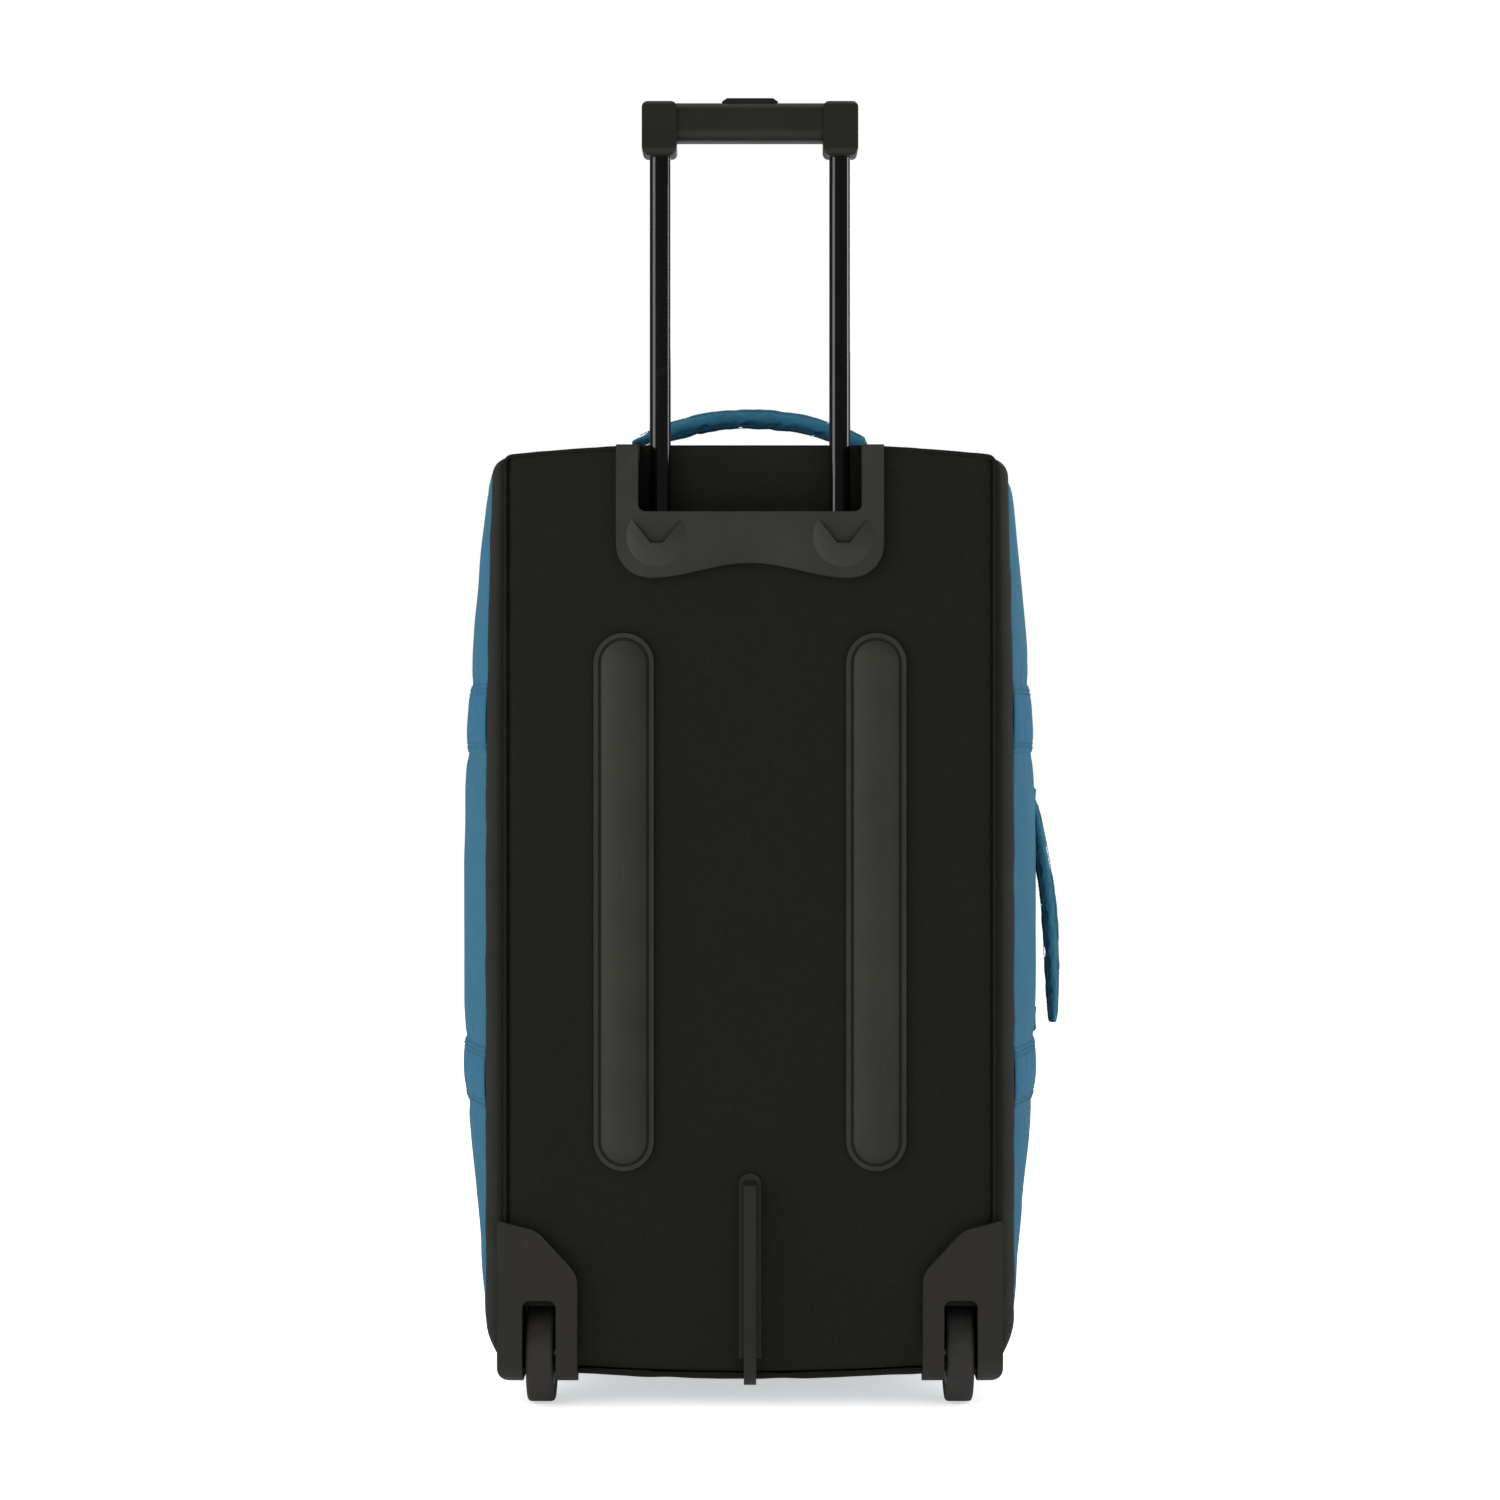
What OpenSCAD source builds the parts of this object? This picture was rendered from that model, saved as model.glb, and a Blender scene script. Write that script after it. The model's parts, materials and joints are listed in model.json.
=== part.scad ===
// Rolling duffel bag with a telescopic pull handle, two wheels and a zipped front lid.
// The floor is z = 0, the back of the bag faces -Y and x = 0 is the mid-plane.
// The origin is the middle of the underside of the stand foot.

/* [Bag body] */
// Width of the back panel between its two seams
back_w = 392; // [384:1:396]
// Width of the body at its widest, half way along its depth
bulge_w = 480; // [474:1:486]
// Depth of the fabric body from back panel to front face
body_depth = 288; // [284:1:296]
// Height of the top of the back panel above the floor
body_top = 768; // [764:1:772]
// Thickness of the padded fabric walls
fabric_t = 3.5; // [3:0.5:4]
// Distance from the stand foot's middle to the back panel
foot_to_back = 230; // [226:1:234]

/* [Pull handle] */
// How far the handle slides down into its pocket
handle_travel = 285; // [240:5:285]
// Diameter of the sliding tubes
tube_d = 17; // [16:0.5:17.5]
// Distance between the two tube axes
tube_spacing = 145; // [143:1:146]
// Width of the grip
grip_w = 174; // [172:1:175]
// Height of the grip's corner blocks
grip_h = 44; // [42:1:46]
// Depth of the grip, back to front
grip_d = 30; // [28:1:31]
// How far the release button goes down
button_travel = 2.5; // [2:0.1:2.5]

/* [Wheels] */
// Diameter of the wheels
wheel_d = 80; // [78:1:80]
// Width of the tyre tread
wheel_w = 22; // [20:1:22]
// Distance between the middles of the two wheels
wheel_spacing = 337; // [335:1:339]
// Diameter of the wheel axles
axle_d = 6; // [5:0.5:6]

/* [Rails and skid] */
// Width of a skid rail
rail_w = 48; // [44:1:50]
// Length of a skid rail
rail_len = 430; // [400:5:440]
// Distance between the middles of the two rails
rail_spacing = 202; // [196:1:206]
// Width of the centre skid's flange
skid_w = 18; // [16:1:20]

/* [Bands and carry handles] */
// Width of the sewn-on bands
band_w = 53; // [48:1:56]
// Height of the middle of the upper band
upper_band_z = 554; // [550:1:560]
// Height of the middle of the lower band
lower_band_z = 261; // [256:1:266]
// Length of the top handle
top_handle_len = 202; // [190:2:210]
// Length of the side handle
side_handle_len = 192; // [180:2:196]

/* [Lid] */
// Width of the lid
lid_w = 358; // [350:1:364]
// Height of the lid
lid_h = 648; // [640:1:650]
// Depth of the front pocket
pocket_t = 20; // [14:1:22]

/* [Hidden] */
$fn = 48;
eps = 0.05;

// Body sections, back to front
y_back = -foot_to_back;
y_seam = y_back + 30;
y_mid = y_back + 150;
y_front = y_back + body_depth;
back_half = back_w / 2;
bulge_half = bulge_w / 2;
body_low = 20;
slab_t = 2;
z_waist_lo = 250;
z_waist_hi = 560;
// Each section: y, half width at top, waist and bottom, lowest z, highest z, corner radius
SECTIONS = [
    [y_back, back_half, back_half, back_half, body_low + 12, body_top, 9],
    [y_back + 24, back_half + 9, back_half + 16, back_half + 11, body_low + 3, body_top + 3, 16],
    [y_mid, bulge_half - 24, bulge_half, bulge_half - 20, body_low, body_top + 8, 46],
    [y_front, bulge_half - 42, bulge_half - 28, bulge_half - 38, body_low + 10, body_top - 6, 56]
];

// Pull handle places
tube_x = tube_spacing / 2;
tube_y = y_back + 25;
tube_r = tube_d / 2;
tube_wall = 1.2;
tube_bore_r = tube_r - tube_wall;
outer_r = tube_r + 2.5;
outer_bore_r = tube_r + 1;
pocket_floor = 718;
stow_gap = 3;
grip_low = pocket_floor + stow_gap + handle_travel;
grip_top = grip_low + grip_h;
bar_low = grip_low + 12;
bar_x = grip_w / 2 - 28;
tube_top = bar_low + 8;
outer_top = pocket_floor - 2.5;
outer_low = 66;
bush_len = 30;
bush_clear = 0.05;
block_clear = 0.1;
block_len = 32;
block_top = outer_top - bush_len - 1;
tube_low = block_top;
pin_r = 3;
pin_z = block_top - block_len / 2;
pin_gap = 0.2;
rod_r = 2;
rod_low = pin_z + pin_r + button_travel + 1;
link_z = bar_low + 12;
link_t = 4;
wall = 2.5;

// Handle housing
bezel_half = 107;
pocket_half = 89.5;
cup_deep = 48;
bezel_low = 665;
bezel_rise = 12;
bezel_t = 6;
lip_rise = 3.5;
cup_rise = 8;
y_bezel = y_back - bezel_t;

// Wheels
wheel_r = wheel_d / 2;
wheel_x = wheel_spacing / 2;
wheel_y = y_back + 36;
axle_r = axle_d / 2;
axle_clear = 0.05;
well_half = 13.5;
well_wall = 5;
housing_in = 138;
housing_out = back_half + 6;
housing_high = 151;
housing_low = 21;
housing_roll = 20;
y_housing = y_back - 7;
bearing_r = 9.5;
bearing_w = 6;
hub_r = 27;

// Screws
screw_r = 2;
screw_head_r = 4;
screw_head_t = 2;
board_t = 2.5;
panel_t = 3;
y_board = y_back + panel_t;
rail_x = rail_spacing / 2;
rail_mid = 406;
rail_screw_z = [rail_mid - 150, rail_mid - 50, rail_mid + 50, rail_mid + 150];
bezel_screws = [[bezel_half - 9, 702], [40, 690]];
housing_screws = [[146, 60], [164, 118]];
skid_screw_z = [100, 170];

// Front
lid_low = 84;
lid_high = lid_low + lid_h;
lid_r = 56;
lid_t = 8;
lid_gap = 6;
y_lid = y_front - 4;
lid_crown = 6;
lid_crown_in = 58;
pocket_low = 150;
pocket_high = 420;
pocket_w = 240;
pocket_skin = 2.5;
y_pocket = y_lid + lid_t + lid_crown;
zip_half_w = lid_gap / 2 - 0.2;
slider_w = 8;
slider_h = 14;
pull_len = 32;
pull_t = 2;
foot_w = 220;
foot_d = 32;

// Points on an arc about (cx, cy) from angle a0 to a1
function arc(cx, cy, r, a0, a1, n = 7) =
    [for (i = [0 : n]) [cx + r * cos(a0 + (a1 - a0) * i / n), cy + r * sin(a0 + (a1 - a0) * i / n)]];

// The same points, left for right and in reverse order, so that an outline closes
function mirrored(pts) = [for (i = [len(pts) - 1 : -1 : 0]) [-pts[i][0], pts[i][1]]];

// Half outline of the body in x and z, from bottom to top
function half_section(w_top, w_mid, w_bot, z_lo, z_hi, r) = concat(
    arc(w_bot - r, z_lo + r, r, -90, 0),
    [[w_mid, z_waist_lo], [w_mid, z_waist_hi]],
    arc(w_top - r, z_hi - r, r, 0, 90));

function section_points(s, g) =
    let (half = half_section(s[1] + g, s[2] + g, s[3] + g, s[4] - g, s[5] + g, s[6] + g))
    concat(half, mirrored(half));

// Rounded rectangle given by its middle, half sizes and corner radius
function round_rect(cx, cy, hw, hh, r) = concat(
    arc(cx + hw - r, cy - hh + r, r, -90, 0), arc(cx + hw - r, cy + hh - r, r, 0, 90),
    arc(cx - hw + r, cy + hh - r, r, 90, 180), arc(cx - hw + r, cy - hh + r, r, 180, 270));

// 2D shape in x and z, drawn out from y0 to y1
module from_y(y0, y1) {
    translate([0, y1, 0]) rotate([90, 0, 0]) linear_extrude(y1 - y0) children();
}

// 2D shape in y and z, drawn out from x0 to x1
module from_x(x0, x1) {
    translate([x0, 0, 0]) rotate([90, 0, 90]) linear_extrude(x1 - x0) children();
}

// Cylinder along Y from y0 to y1
module rod_y(x, z, r, y0, y1) {
    translate([x, y1, z]) rotate([90, 0, 0]) cylinder(h = y1 - y0, r = r);
}

// Cylinder along X from x0 to x1
module rod_x(y, z, r, x0, x1) {
    translate([x0, y, z]) rotate([0, 90, 0]) cylinder(h = x1 - x0, r = r);
}

module box(x0, x1, y0, y1, z0, z1) {
    translate([x0, y0, z0]) cube([x1 - x0, y1 - y0, z1 - z0]);
}

module both_sides() {
    children();
    mirror([1, 0, 0]) children();
}

module left_side() {
    mirror([1, 0, 0]) children();
}

// Whole fabric body as one solid, grown outwards by g, its back drawn out by more
module body_solid(g, more = 0) {
    last = len(SECTIONS) - 1;
    hull() for (i = [0 : last]) {
        y = SECTIONS[i][0];
        y0 = i == 0 ? y - g - more : (i == last ? y + g - slab_t : y);
        y1 = i == last ? y + g : (i == 0 ? y + slab_t - g : y + slab_t);
        from_y(y0, y1) polygon(section_points(SECTIONS[i], g));
    }
}

// Fabric wall between two depths, open at the back panel
module body_wall(y0, y1) {
    intersection() {
        difference() {
            body_solid(0);
            body_solid(-fabric_t, fabric_t * 3);
        }
        box(-bulge_w, bulge_w, y0, y1, -10, body_top + 50);
    }
}

// Space that the pocket cup takes out of the top back edge
module cup_space(g) {
    box(-pocket_half - wall - g, pocket_half + wall + g, y_back - 20, y_back + cup_deep + g,
        pocket_floor - wall - g, body_top + 50);
}

// Space that a wheel well takes out of the fabric, right side
module well_space(g) {
    box(wheel_x - well_half - well_wall - g, wheel_x + well_half + well_wall + g,
        y_back - 20, wheel_y + wheel_r + 8 + g, -10, wheel_r * 2 + 14 + g);
}

// Shanks of all the screws that come through the back, grown by g
module screw_places() {
    both_sides() {
        for (z = rail_screw_z) translate([rail_x, 0, z]) children();
        for (p = bezel_screws) translate([p[0], 0, p[1]]) children();
        for (p = housing_screws) translate([p[0], 0, p[1]]) children();
    }
    for (z = skid_screw_z) translate([0, 0, z]) children();
}

module screw_holes(g) {
    screw_places() rod_y(0, 0, screw_r + g, y_back - 3, y_board + board_t + 1);
}

module back_panel() {
    color("#20211c") difference() {
        from_y(y_back, y_board) polygon(section_points(SECTIONS[0], -1.5));
        cup_space(0.5);
        both_sides() well_space(0.5);
        screw_holes(eps);
    }
}

module rear_gusset() {
    color("#272723") difference() {
        body_wall(y_board + eps, y_seam);
        cup_space(0.5);
        both_sides() well_space(0.5);
    }
}

module rear_piping() {
    cord = 1.5;
    color("#0d0d0b") difference() {
        from_y(y_back - 1, y_board - 0.2) difference() {
            polygon(section_points(SECTIONS[0], cord));
            polygon(section_points(SECTIONS[0], -cord + eps));
        }
        cup_space(bezel_half - pocket_half + 1);
        both_sides() box(housing_in - 2, housing_out + 10, y_back - 20, y_back + 20, -10, housing_high + 2);
        box(-skid_w, skid_w, y_back - 20, y_back + 20, -10, 100);
    }
}

// Opening in the front face, which the lid and its zip fill
module front_opening(g) {
    mid = (lid_low + lid_high) / 2;
    polygon(round_rect(0, mid, lid_w / 2 + g, lid_h / 2 + g, lid_r + g));
}

module main_shell() {
    color("#3f768e") difference() {
        body_wall(y_seam + eps, y_front);
        from_y(y_front - 30, y_front + 10) front_opening(lid_gap);
        cup_space(0.5);
        both_sides() well_space(0.5);
    }
}

// Sewn band round one side at height z
module side_band(z) {
    intersection() {
        difference() {
            body_solid(2);
            body_solid(eps);
        }
        box(lid_w / 2 + lid_gap + 2, bulge_w, y_seam + 2, y_front + 5, z - band_w / 2, z + band_w / 2);
    }
}

module upper_band() {
    color("#3f7998") both_sides() side_band(upper_band_z);
}

module lower_band() {
    color("#3f7998") both_sides() side_band(lower_band_z);
}

// Sheet of lining that hides the tubes from the packing space
module lining() {
    y_lining = tube_y + outer_r + 4;
    color("#55585a") difference() {
        from_y(y_lining, y_lining + 1.5)
            polygon(round_rect(0, (body_top + body_low) / 2, back_half - 4, 352, 24));
        cup_space(1);
        both_sides() well_space(3);
    }
}

module back_board() {
    color("#c9c7bd") difference() {
        from_y(y_board + eps, y_board + board_t)
            polygon(round_rect(0, 386, back_half - 8, 327, 20));
        both_sides() well_space(3);
        screw_holes(eps);
    }
}

module base_board() {
    color("#c9c7bd") difference() {
        intersection() {
            box(-back_half, back_half, y_board + 8, y_front - 10, body_low + 16, body_low + 19);
            body_solid(-fabric_t - 1);
        }
        both_sides() well_space(3);
    }
}

// Outline of the bezel's right half in x and z, from the bottom middle up
BEZEL_LOBE = 80;
function bezel_edge() = concat(
    [for (i = [0 : 10]) [BEZEL_LOBE * i / 10, bezel_low + bezel_rise * (1 + cos(18 * i)) / 2]],
    arc(BEZEL_LOBE, bezel_low + 27, bezel_half - BEZEL_LOBE, -72, 0));

module bezel_outline() {
    half = concat(bezel_edge(), [[bezel_half, body_top + lip_rise]]);
    polygon(concat(half, mirrored(half)));
}

// Raised end of a tube channel: a dome cut away above by a V
module tube_boss() {
    dome_r = 52;
    dome_out = 6;
    dome_x = tube_x + 2;
    dome_z = 698;
    v_z = dome_z - 5.5;
    difference() {
        intersection() {
            translate([dome_x, y_bezel - dome_out + dome_r, dome_z]) sphere(r = dome_r);
            box(dome_x - 30, dome_x + 30, y_bezel - 10, y_bezel, dome_z - 30, dome_z + 30);
        }
        from_y(y_bezel - 20, y_bezel + 1)
            polygon([[dome_x - 5, v_z], [dome_x + 5, v_z], [dome_x + 29, v_z + 31],
                     [dome_x - 29, v_z + 31]]);
    }
}

module handle_bezel() {
    color("#383934") difference() {
        union() {
            from_y(y_bezel, y_back - eps) bezel_outline();
            both_sides() difference() {
                box(pocket_half + wall + eps, bezel_half, y_bezel, y_back + 32,
                    body_top, body_top + lip_rise);
                body_solid(eps);
            }
            both_sides() tube_boss();
        }
        from_y(y_bezel - 20, y_back + 60)
            polygon(round_rect(0, pocket_floor + 50, pocket_half, 50, 6));
        screw_places() rod_y(0, 0, screw_r, y_back - 3, y_back);
    }
}

module pocket_cup() {
    color("#1a1a17") difference() {
        from_x(-pocket_half - wall, pocket_half + wall) polygon([
            [y_back + eps, pocket_floor - wall], [y_back + cup_deep, pocket_floor - wall],
            [y_back + cup_deep, body_top + cup_rise], [y_back + eps, body_top + lip_rise]]);
        box(-pocket_half, pocket_half, y_back - 1, y_back + cup_deep - wall, pocket_floor, body_top + 10);
        both_sides() translate([tube_x, tube_y, pocket_floor - 10]) cylinder(h = 20, r = outer_r + 2);
    }
}

// Slot that lets the lock pin ride along the outer tube
module lock_slot() {
    half = pin_r + pin_gap;
    rod_x(tube_y, pin_z, half, tube_x, tube_x + 20);
    rod_x(tube_y, pin_z - handle_travel, half, tube_x, tube_x + 20);
    box(tube_x, tube_x + 20, tube_y - half, tube_y + half, pin_z - handle_travel, pin_z);
}

module outer_tube_right() {
    color("#2b2b2b") difference() {
        translate([tube_x, tube_y, outer_low]) cylinder(h = outer_top - outer_low, r = outer_r);
        translate([tube_x, tube_y, outer_low - 1]) cylinder(h = 800, r = outer_bore_r);
        lock_slot();
    }
}

module outer_tube_left() {
    left_side() outer_tube_right();
}

// Flanged sleeves at the mouths of the outer tubes
module guide_bushes() {
    color("#151515") both_sides() translate([tube_x, tube_y, 0]) difference() {
        union() {
            translate([0, 0, outer_top - bush_len]) cylinder(h = bush_len + 2, r = outer_bore_r);
            translate([0, 0, outer_top]) cylinder(h = 3, r = outer_r + 1.9);
        }
        cylinder(h = 900, r = tube_r + bush_clear);
    }
}

module tube_base() {
    color("#1d1d1d") difference() {
        box(-tube_x - 22, tube_x + 22, y_board + board_t + 0.5, tube_y + outer_r + 3, outer_low - 12,
            outer_low + 24);
        both_sides() translate([tube_x, tube_y, outer_low]) cylinder(h = 100, r = outer_r);
        box(-14, 14, y_back, tube_y + 3, outer_low - 20, outer_low + 50);
    }
}

module inner_tube_right() {
    color("#101010") translate([tube_x, tube_y, 0]) difference() {
        translate([0, 0, tube_low]) cylinder(h = tube_top - tube_low, r = tube_r);
        cylinder(h = 1200, r = tube_bore_r);
    }
}

module inner_tube_left() {
    left_side() inner_tube_right();
}

// Box whose edges are rounded as seen from the back and from the side
module soft_box(x0, x1, y0, y1, z0, z1, r) {
    intersection() {
        from_y(y0, y1) polygon(round_rect((x0 + x1) / 2, (z0 + z1) / 2, (x1 - x0) / 2, (z1 - z0) / 2, r));
        from_x(x0, x1) polygon(round_rect((y0 + y1) / 2, (z0 + z1) / 2, (y1 - y0) / 2, (z1 - z0) / 2, r));
    }
}

// The grip as one solid
module grip_solid() {
    bar_d = grip_d / 2 - 1.5;
    from_x(-bar_x - 4, bar_x + 4) polygon(round_rect(tube_y, (bar_low + grip_top) / 2 - 0.5, bar_d,
                                                    (grip_top - bar_low) / 2 - 0.5, 9));
    both_sides() soft_box(bar_x, grip_w / 2, tube_y - grip_d / 2, tube_y + grip_d / 2, grip_low,
                          grip_top, 6);
}

// Hollow inside the grip: tube sockets, link channel and button well
module grip_hollow() {
    both_sides() translate([tube_x, tube_y, grip_low - 1])
        cylinder(h = tube_top - grip_low + 1, r = tube_r);
    box(-tube_x - 5, tube_x + 5, tube_y - 5, tube_y + 5, tube_top, link_z + link_t + 2);
    box(-26, 26, tube_y - 10, tube_y + 10, bar_low + 6, grip_top - 4);
    box(-23, 23, tube_y - 7.5, tube_y + 7.5, grip_top - 10, grip_top + 10);
}

grip_screw_x = [-tube_x, tube_x];
grip_screw_z = tube_top + 14.4;

module grip_rear_shell() {
    color("#282924") difference() {
        intersection() {
            grip_solid();
            box(-grip_w, grip_w, tube_y - grip_d, tube_y - eps, grip_low - 10, grip_top + 10);
        }
        grip_hollow();
        for (x = grip_screw_x) rod_y(x, grip_screw_z, 1.5, tube_y - 9, tube_y + 1);
    }
}

module grip_front_shell() {
    color("#282924") difference() {
        intersection() {
            grip_solid();
            box(-grip_w, grip_w, tube_y, tube_y + grip_d, grip_low - 10, grip_top + 10);
        }
        grip_hollow();
        for (x = grip_screw_x) {
            rod_y(x, grip_screw_z, 1.6, tube_y - 1, tube_y + grip_d);
            rod_y(x, grip_screw_z, 3, tube_y + 9, tube_y + grip_d);
        }
    }
}

module grip_screws() {
    color("#8a8a8a") for (x = grip_screw_x) {
        rod_y(x, grip_screw_z, 1.5, tube_y - 8, tube_y + 9);
        difference() {
            rod_y(x, grip_screw_z, 2.9, tube_y + 9, tube_y + 11);
            box(x - 2, x + 2, tube_y + 10.2, tube_y + 12, grip_screw_z - 0.3, grip_screw_z + 0.3);
        }
    }
}

module release_button() {
    cap_half = 22.6;
    cap_top = grip_top + button_travel + 0.3;
    color("#1e1f1b") {
        from_y(tube_y - 7, tube_y + 7) polygon([[-cap_half, grip_top - 7], [cap_half, grip_top - 7],
            [cap_half, grip_top], [cap_half - 4, cap_top],
            [-cap_half + 4, cap_top], [-cap_half, grip_top]]);
        box(-25.5, 25.5, tube_y - 9, tube_y + 9, grip_top - 7, grip_top - 4.2);
        box(-6, 6, tube_y - 4, tube_y + 4, link_z + link_t, grip_top - 7);
    }
}

// Bar inside the grip that carries the button's push to both rods
module push_link() {
    color("#3a3a3a") box(-tube_x - 3.5, tube_x + 3.5, tube_y - 4, tube_y + 4, link_z, link_z + link_t);
}

module push_rods() {
    color("#9a9a9a") both_sides() translate([tube_x, tube_y, rod_low])
        cylinder(h = link_z - rod_low, r = rod_r);
}

module button_spring() {
    low = bar_low + 6.1;
    coil_r = 4;
    color("#b0b0b0") translate([0, tube_y, low])
        linear_extrude(link_z - low - 0.1, twist = -1440, slices = 96)
        translate([coil_r, 0]) circle(r = 0.5, $fn = 8);
}

// Plugs in the lower tube ends that hold the lock pins
module lock_blocks() {
    color("#242424") both_sides() difference() {
        translate([tube_x, tube_y, 0]) union() {
            translate([0, 0, block_top - block_len])
                cylinder(h = block_len, r = outer_bore_r - block_clear);
            translate([0, 0, block_top]) cylinder(h = 14, r = tube_bore_r);
        }
        translate([tube_x, tube_y, pin_z]) cylinder(h = 100, r = rod_r + block_clear);
        rod_x(tube_y, pin_z, pin_r + eps, tube_x - 4, tube_x + 20);
    }
}

module lock_pin_right() {
    color("#a8a8a8") rod_x(tube_y, pin_z, pin_r, tube_x - 1, tube_x + outer_r - 0.5);
}

module lock_pin_left() {
    left_side() lock_pin_right();
}

// Side profile of a wheel housing in y and z, rounded where it rolls over the floor
function housing_side() = concat(
    [[y_housing, housing_high + 2]],
    arc(y_housing + housing_roll, housing_low + housing_roll, housing_roll, 180, 270),
    [[wheel_y + wheel_r + 8, housing_low], [wheel_y + wheel_r + 8, housing_high + 2]]);

// Outline of the housing's rear plate in x and z
function housing_plate() = concat(
    [[housing_in, housing_low]],
    arc(housing_out - 12, housing_low + 12, 12, -90, 0),
    arc(housing_out - 3, housing_high - 3, 3, 0, 90),
    arc(housing_in + 44, housing_high - 27, 22, 101, 137),
    arc(housing_in + 20, housing_high - 50, 20, 137, 180));

module wheel_well() {
    slot_top = wheel_r * 2 + 8;
    rod_x(wheel_y, wheel_r, wheel_r + 5, wheel_x - well_half, wheel_x + well_half);
    from_y(y_housing - 5, wheel_y) polygon(round_rect(wheel_x, slot_top / 2, well_half, slot_top / 2, 6));
    box(wheel_x - well_half, wheel_x + well_half, y_housing - 5, wheel_y, -5, wheel_r / 2);
    box(wheel_x - well_half, wheel_x + well_half, wheel_y - wheel_r - 20, wheel_y + wheel_r + 5, -5,
        wheel_r - 10);
}

module wheel_housing_right() {
    color("#363330") difference() {
        intersection() {
            from_x(housing_in - 5, housing_out + 5) polygon(housing_side());
            union() {
                difference() {
                    from_y(y_housing, y_back + 16) polygon(housing_plate());
                    body_solid(eps);
                }
                box(wheel_x - well_half - well_wall, wheel_x + well_half + well_wall, y_back - 1,
                    wheel_y + wheel_r + 8, housing_low, wheel_r * 2 + 14);
            }
        }
        wheel_well();
        rod_x(wheel_y, wheel_r, axle_r, housing_in, housing_out);
        for (p = housing_screws) rod_y(p[0], p[1], screw_r, y_back - 3, y_back + 10);
    }
}

module wheel_housing_left() {
    left_side() wheel_housing_right();
}

// Ring about a wheel's axis, made by turning a profile of radius and x
module about_axle() {
    translate([wheel_x, wheel_y, wheel_r]) rotate([0, 90, 0]) rotate_extrude($fn = 96) children();
}

module tyre_right() {
    half = wheel_w / 2;
    round_r = 3;
    color("#3b3836") about_axle() polygon(concat(
        [[hub_r, -half + 1]],
        arc(wheel_r - round_r, -half + round_r, round_r, -90, 0),
        arc(wheel_r - round_r, half - round_r, round_r, 0, 90),
        [[hub_r, half - 1]]));
}

module tyre_left() {
    left_side() tyre_right();
}

module hub_right() {
    half = wheel_w / 2 - 1;
    color("#4b4b4b") difference() {
        about_axle() polygon([[axle_r + 3, -half], [hub_r, -half], [hub_r, half], [axle_r + 3, half]]);
        for (s = [-1, 1]) rod_x(wheel_y, wheel_r, bearing_r, wheel_x + (s > 0 ? half - bearing_w : -half),
                                wheel_x + (s > 0 ? half : bearing_w - half));
        for (a = [0 : 60 : 300]) translate([wheel_x, wheel_y, wheel_r]) rotate([a, 0, 0])
            rod_x(18, 0, 4.5, -half - 1, half + 1);
    }
}

module hub_left() {
    left_side() hub_right();
}

module bearings_right() {
    half = wheel_w / 2 - 1;
    color("#c8c8c8") about_axle() for (s = [-1, 1])
        translate([axle_r + axle_clear, s > 0 ? half - bearing_w : -half])
            square([bearing_r - axle_r - axle_clear, bearing_w]);
}

module bearings_left() {
    left_side() bearings_right();
}

module axle_right() {
    out = well_half + well_wall;
    color("#9c9c9c") {
        rod_x(wheel_y, wheel_r, axle_r, wheel_x - out, wheel_x + out);
        rod_x(wheel_y, wheel_r, axle_r + 3, wheel_x - out - 2, wheel_x - out);
        rod_x(wheel_y, wheel_r, axle_r + 3, wheel_x + out, wheel_x + out + 2);
    }
}

module axle_left() {
    left_side() axle_right();
}

// Stadium ring or plate for a rail, from half width r0 to r1
module stadium(r0, r1, y0, y1) {
    straight = rail_len - rail_w;
    from_y(y0, y1) difference() {
        union() {
            translate([0, straight / 2]) circle(r = r1);
            translate([0, -straight / 2]) circle(r = r1);
            square([r1 * 2, straight], center = true);
        }
        if (r0 > 0) union() {
            translate([0, straight / 2]) circle(r = r0);
            translate([0, -straight / 2]) circle(r = r0);
            square([r0 * 2, straight], center = true);
        }
    }
}

// Half of the rail's raised profile: half width and height
function rail_arc(hw, h) =
    let (r = (hw * hw + h * h) / (2 * h), a = asin(hw / r))
    [for (i = [0 : 10]) [r * sin(a * i / 10), r * cos(a * i / 10) - r + h]];

module skid_rail_right() {
    straight = rail_len - rail_w;
    body_half = rail_w / 2 - 6;
    rise = 7;
    base = 2.5;
    profile = concat([[0, 0]], rail_arc(body_half, rise));
    color("#3c3d38") difference() {
        translate([rail_x, y_back, rail_mid]) {
            stadium(0, rail_w / 2, -1, -eps);
            stadium(body_half + 2.4, rail_w / 2, -base, -1);
            stadium(0, body_half, -base, -1);
            for (s = [-1, 1]) translate([0, -base, s * straight / 2]) rotate([90, 0, 0])
                rotate_extrude() polygon(profile);
            translate([0, -base, -straight / 2]) linear_extrude(straight)
                polygon(concat([for (i = [10 : -1 : 1]) let (p = profile[i + 1]) [-p[0], -p[1]]],
                               [for (i = [1 : 11]) [profile[i][0], -profile[i][1]]]));
        }
        for (z = rail_screw_z) rod_y(rail_x, z, screw_r, y_back - 3, y_back + 1);
    }
}

module skid_rail_left() {
    left_side() skid_rail_right();
}

// Side path of the skid, out by g from the fabric, from top of the back to under the base
function skid_path(g) = concat(
    [[y_back - g, 180]],
    arc(y_back + 26, body_low + 30, 26 + g, 180, 270),
    [[y_mid - 20, body_low + 4 - g]]);

function reversed(pts) = [for (i = [len(pts) - 1 : -1 : 0]) pts[i]];

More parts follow.
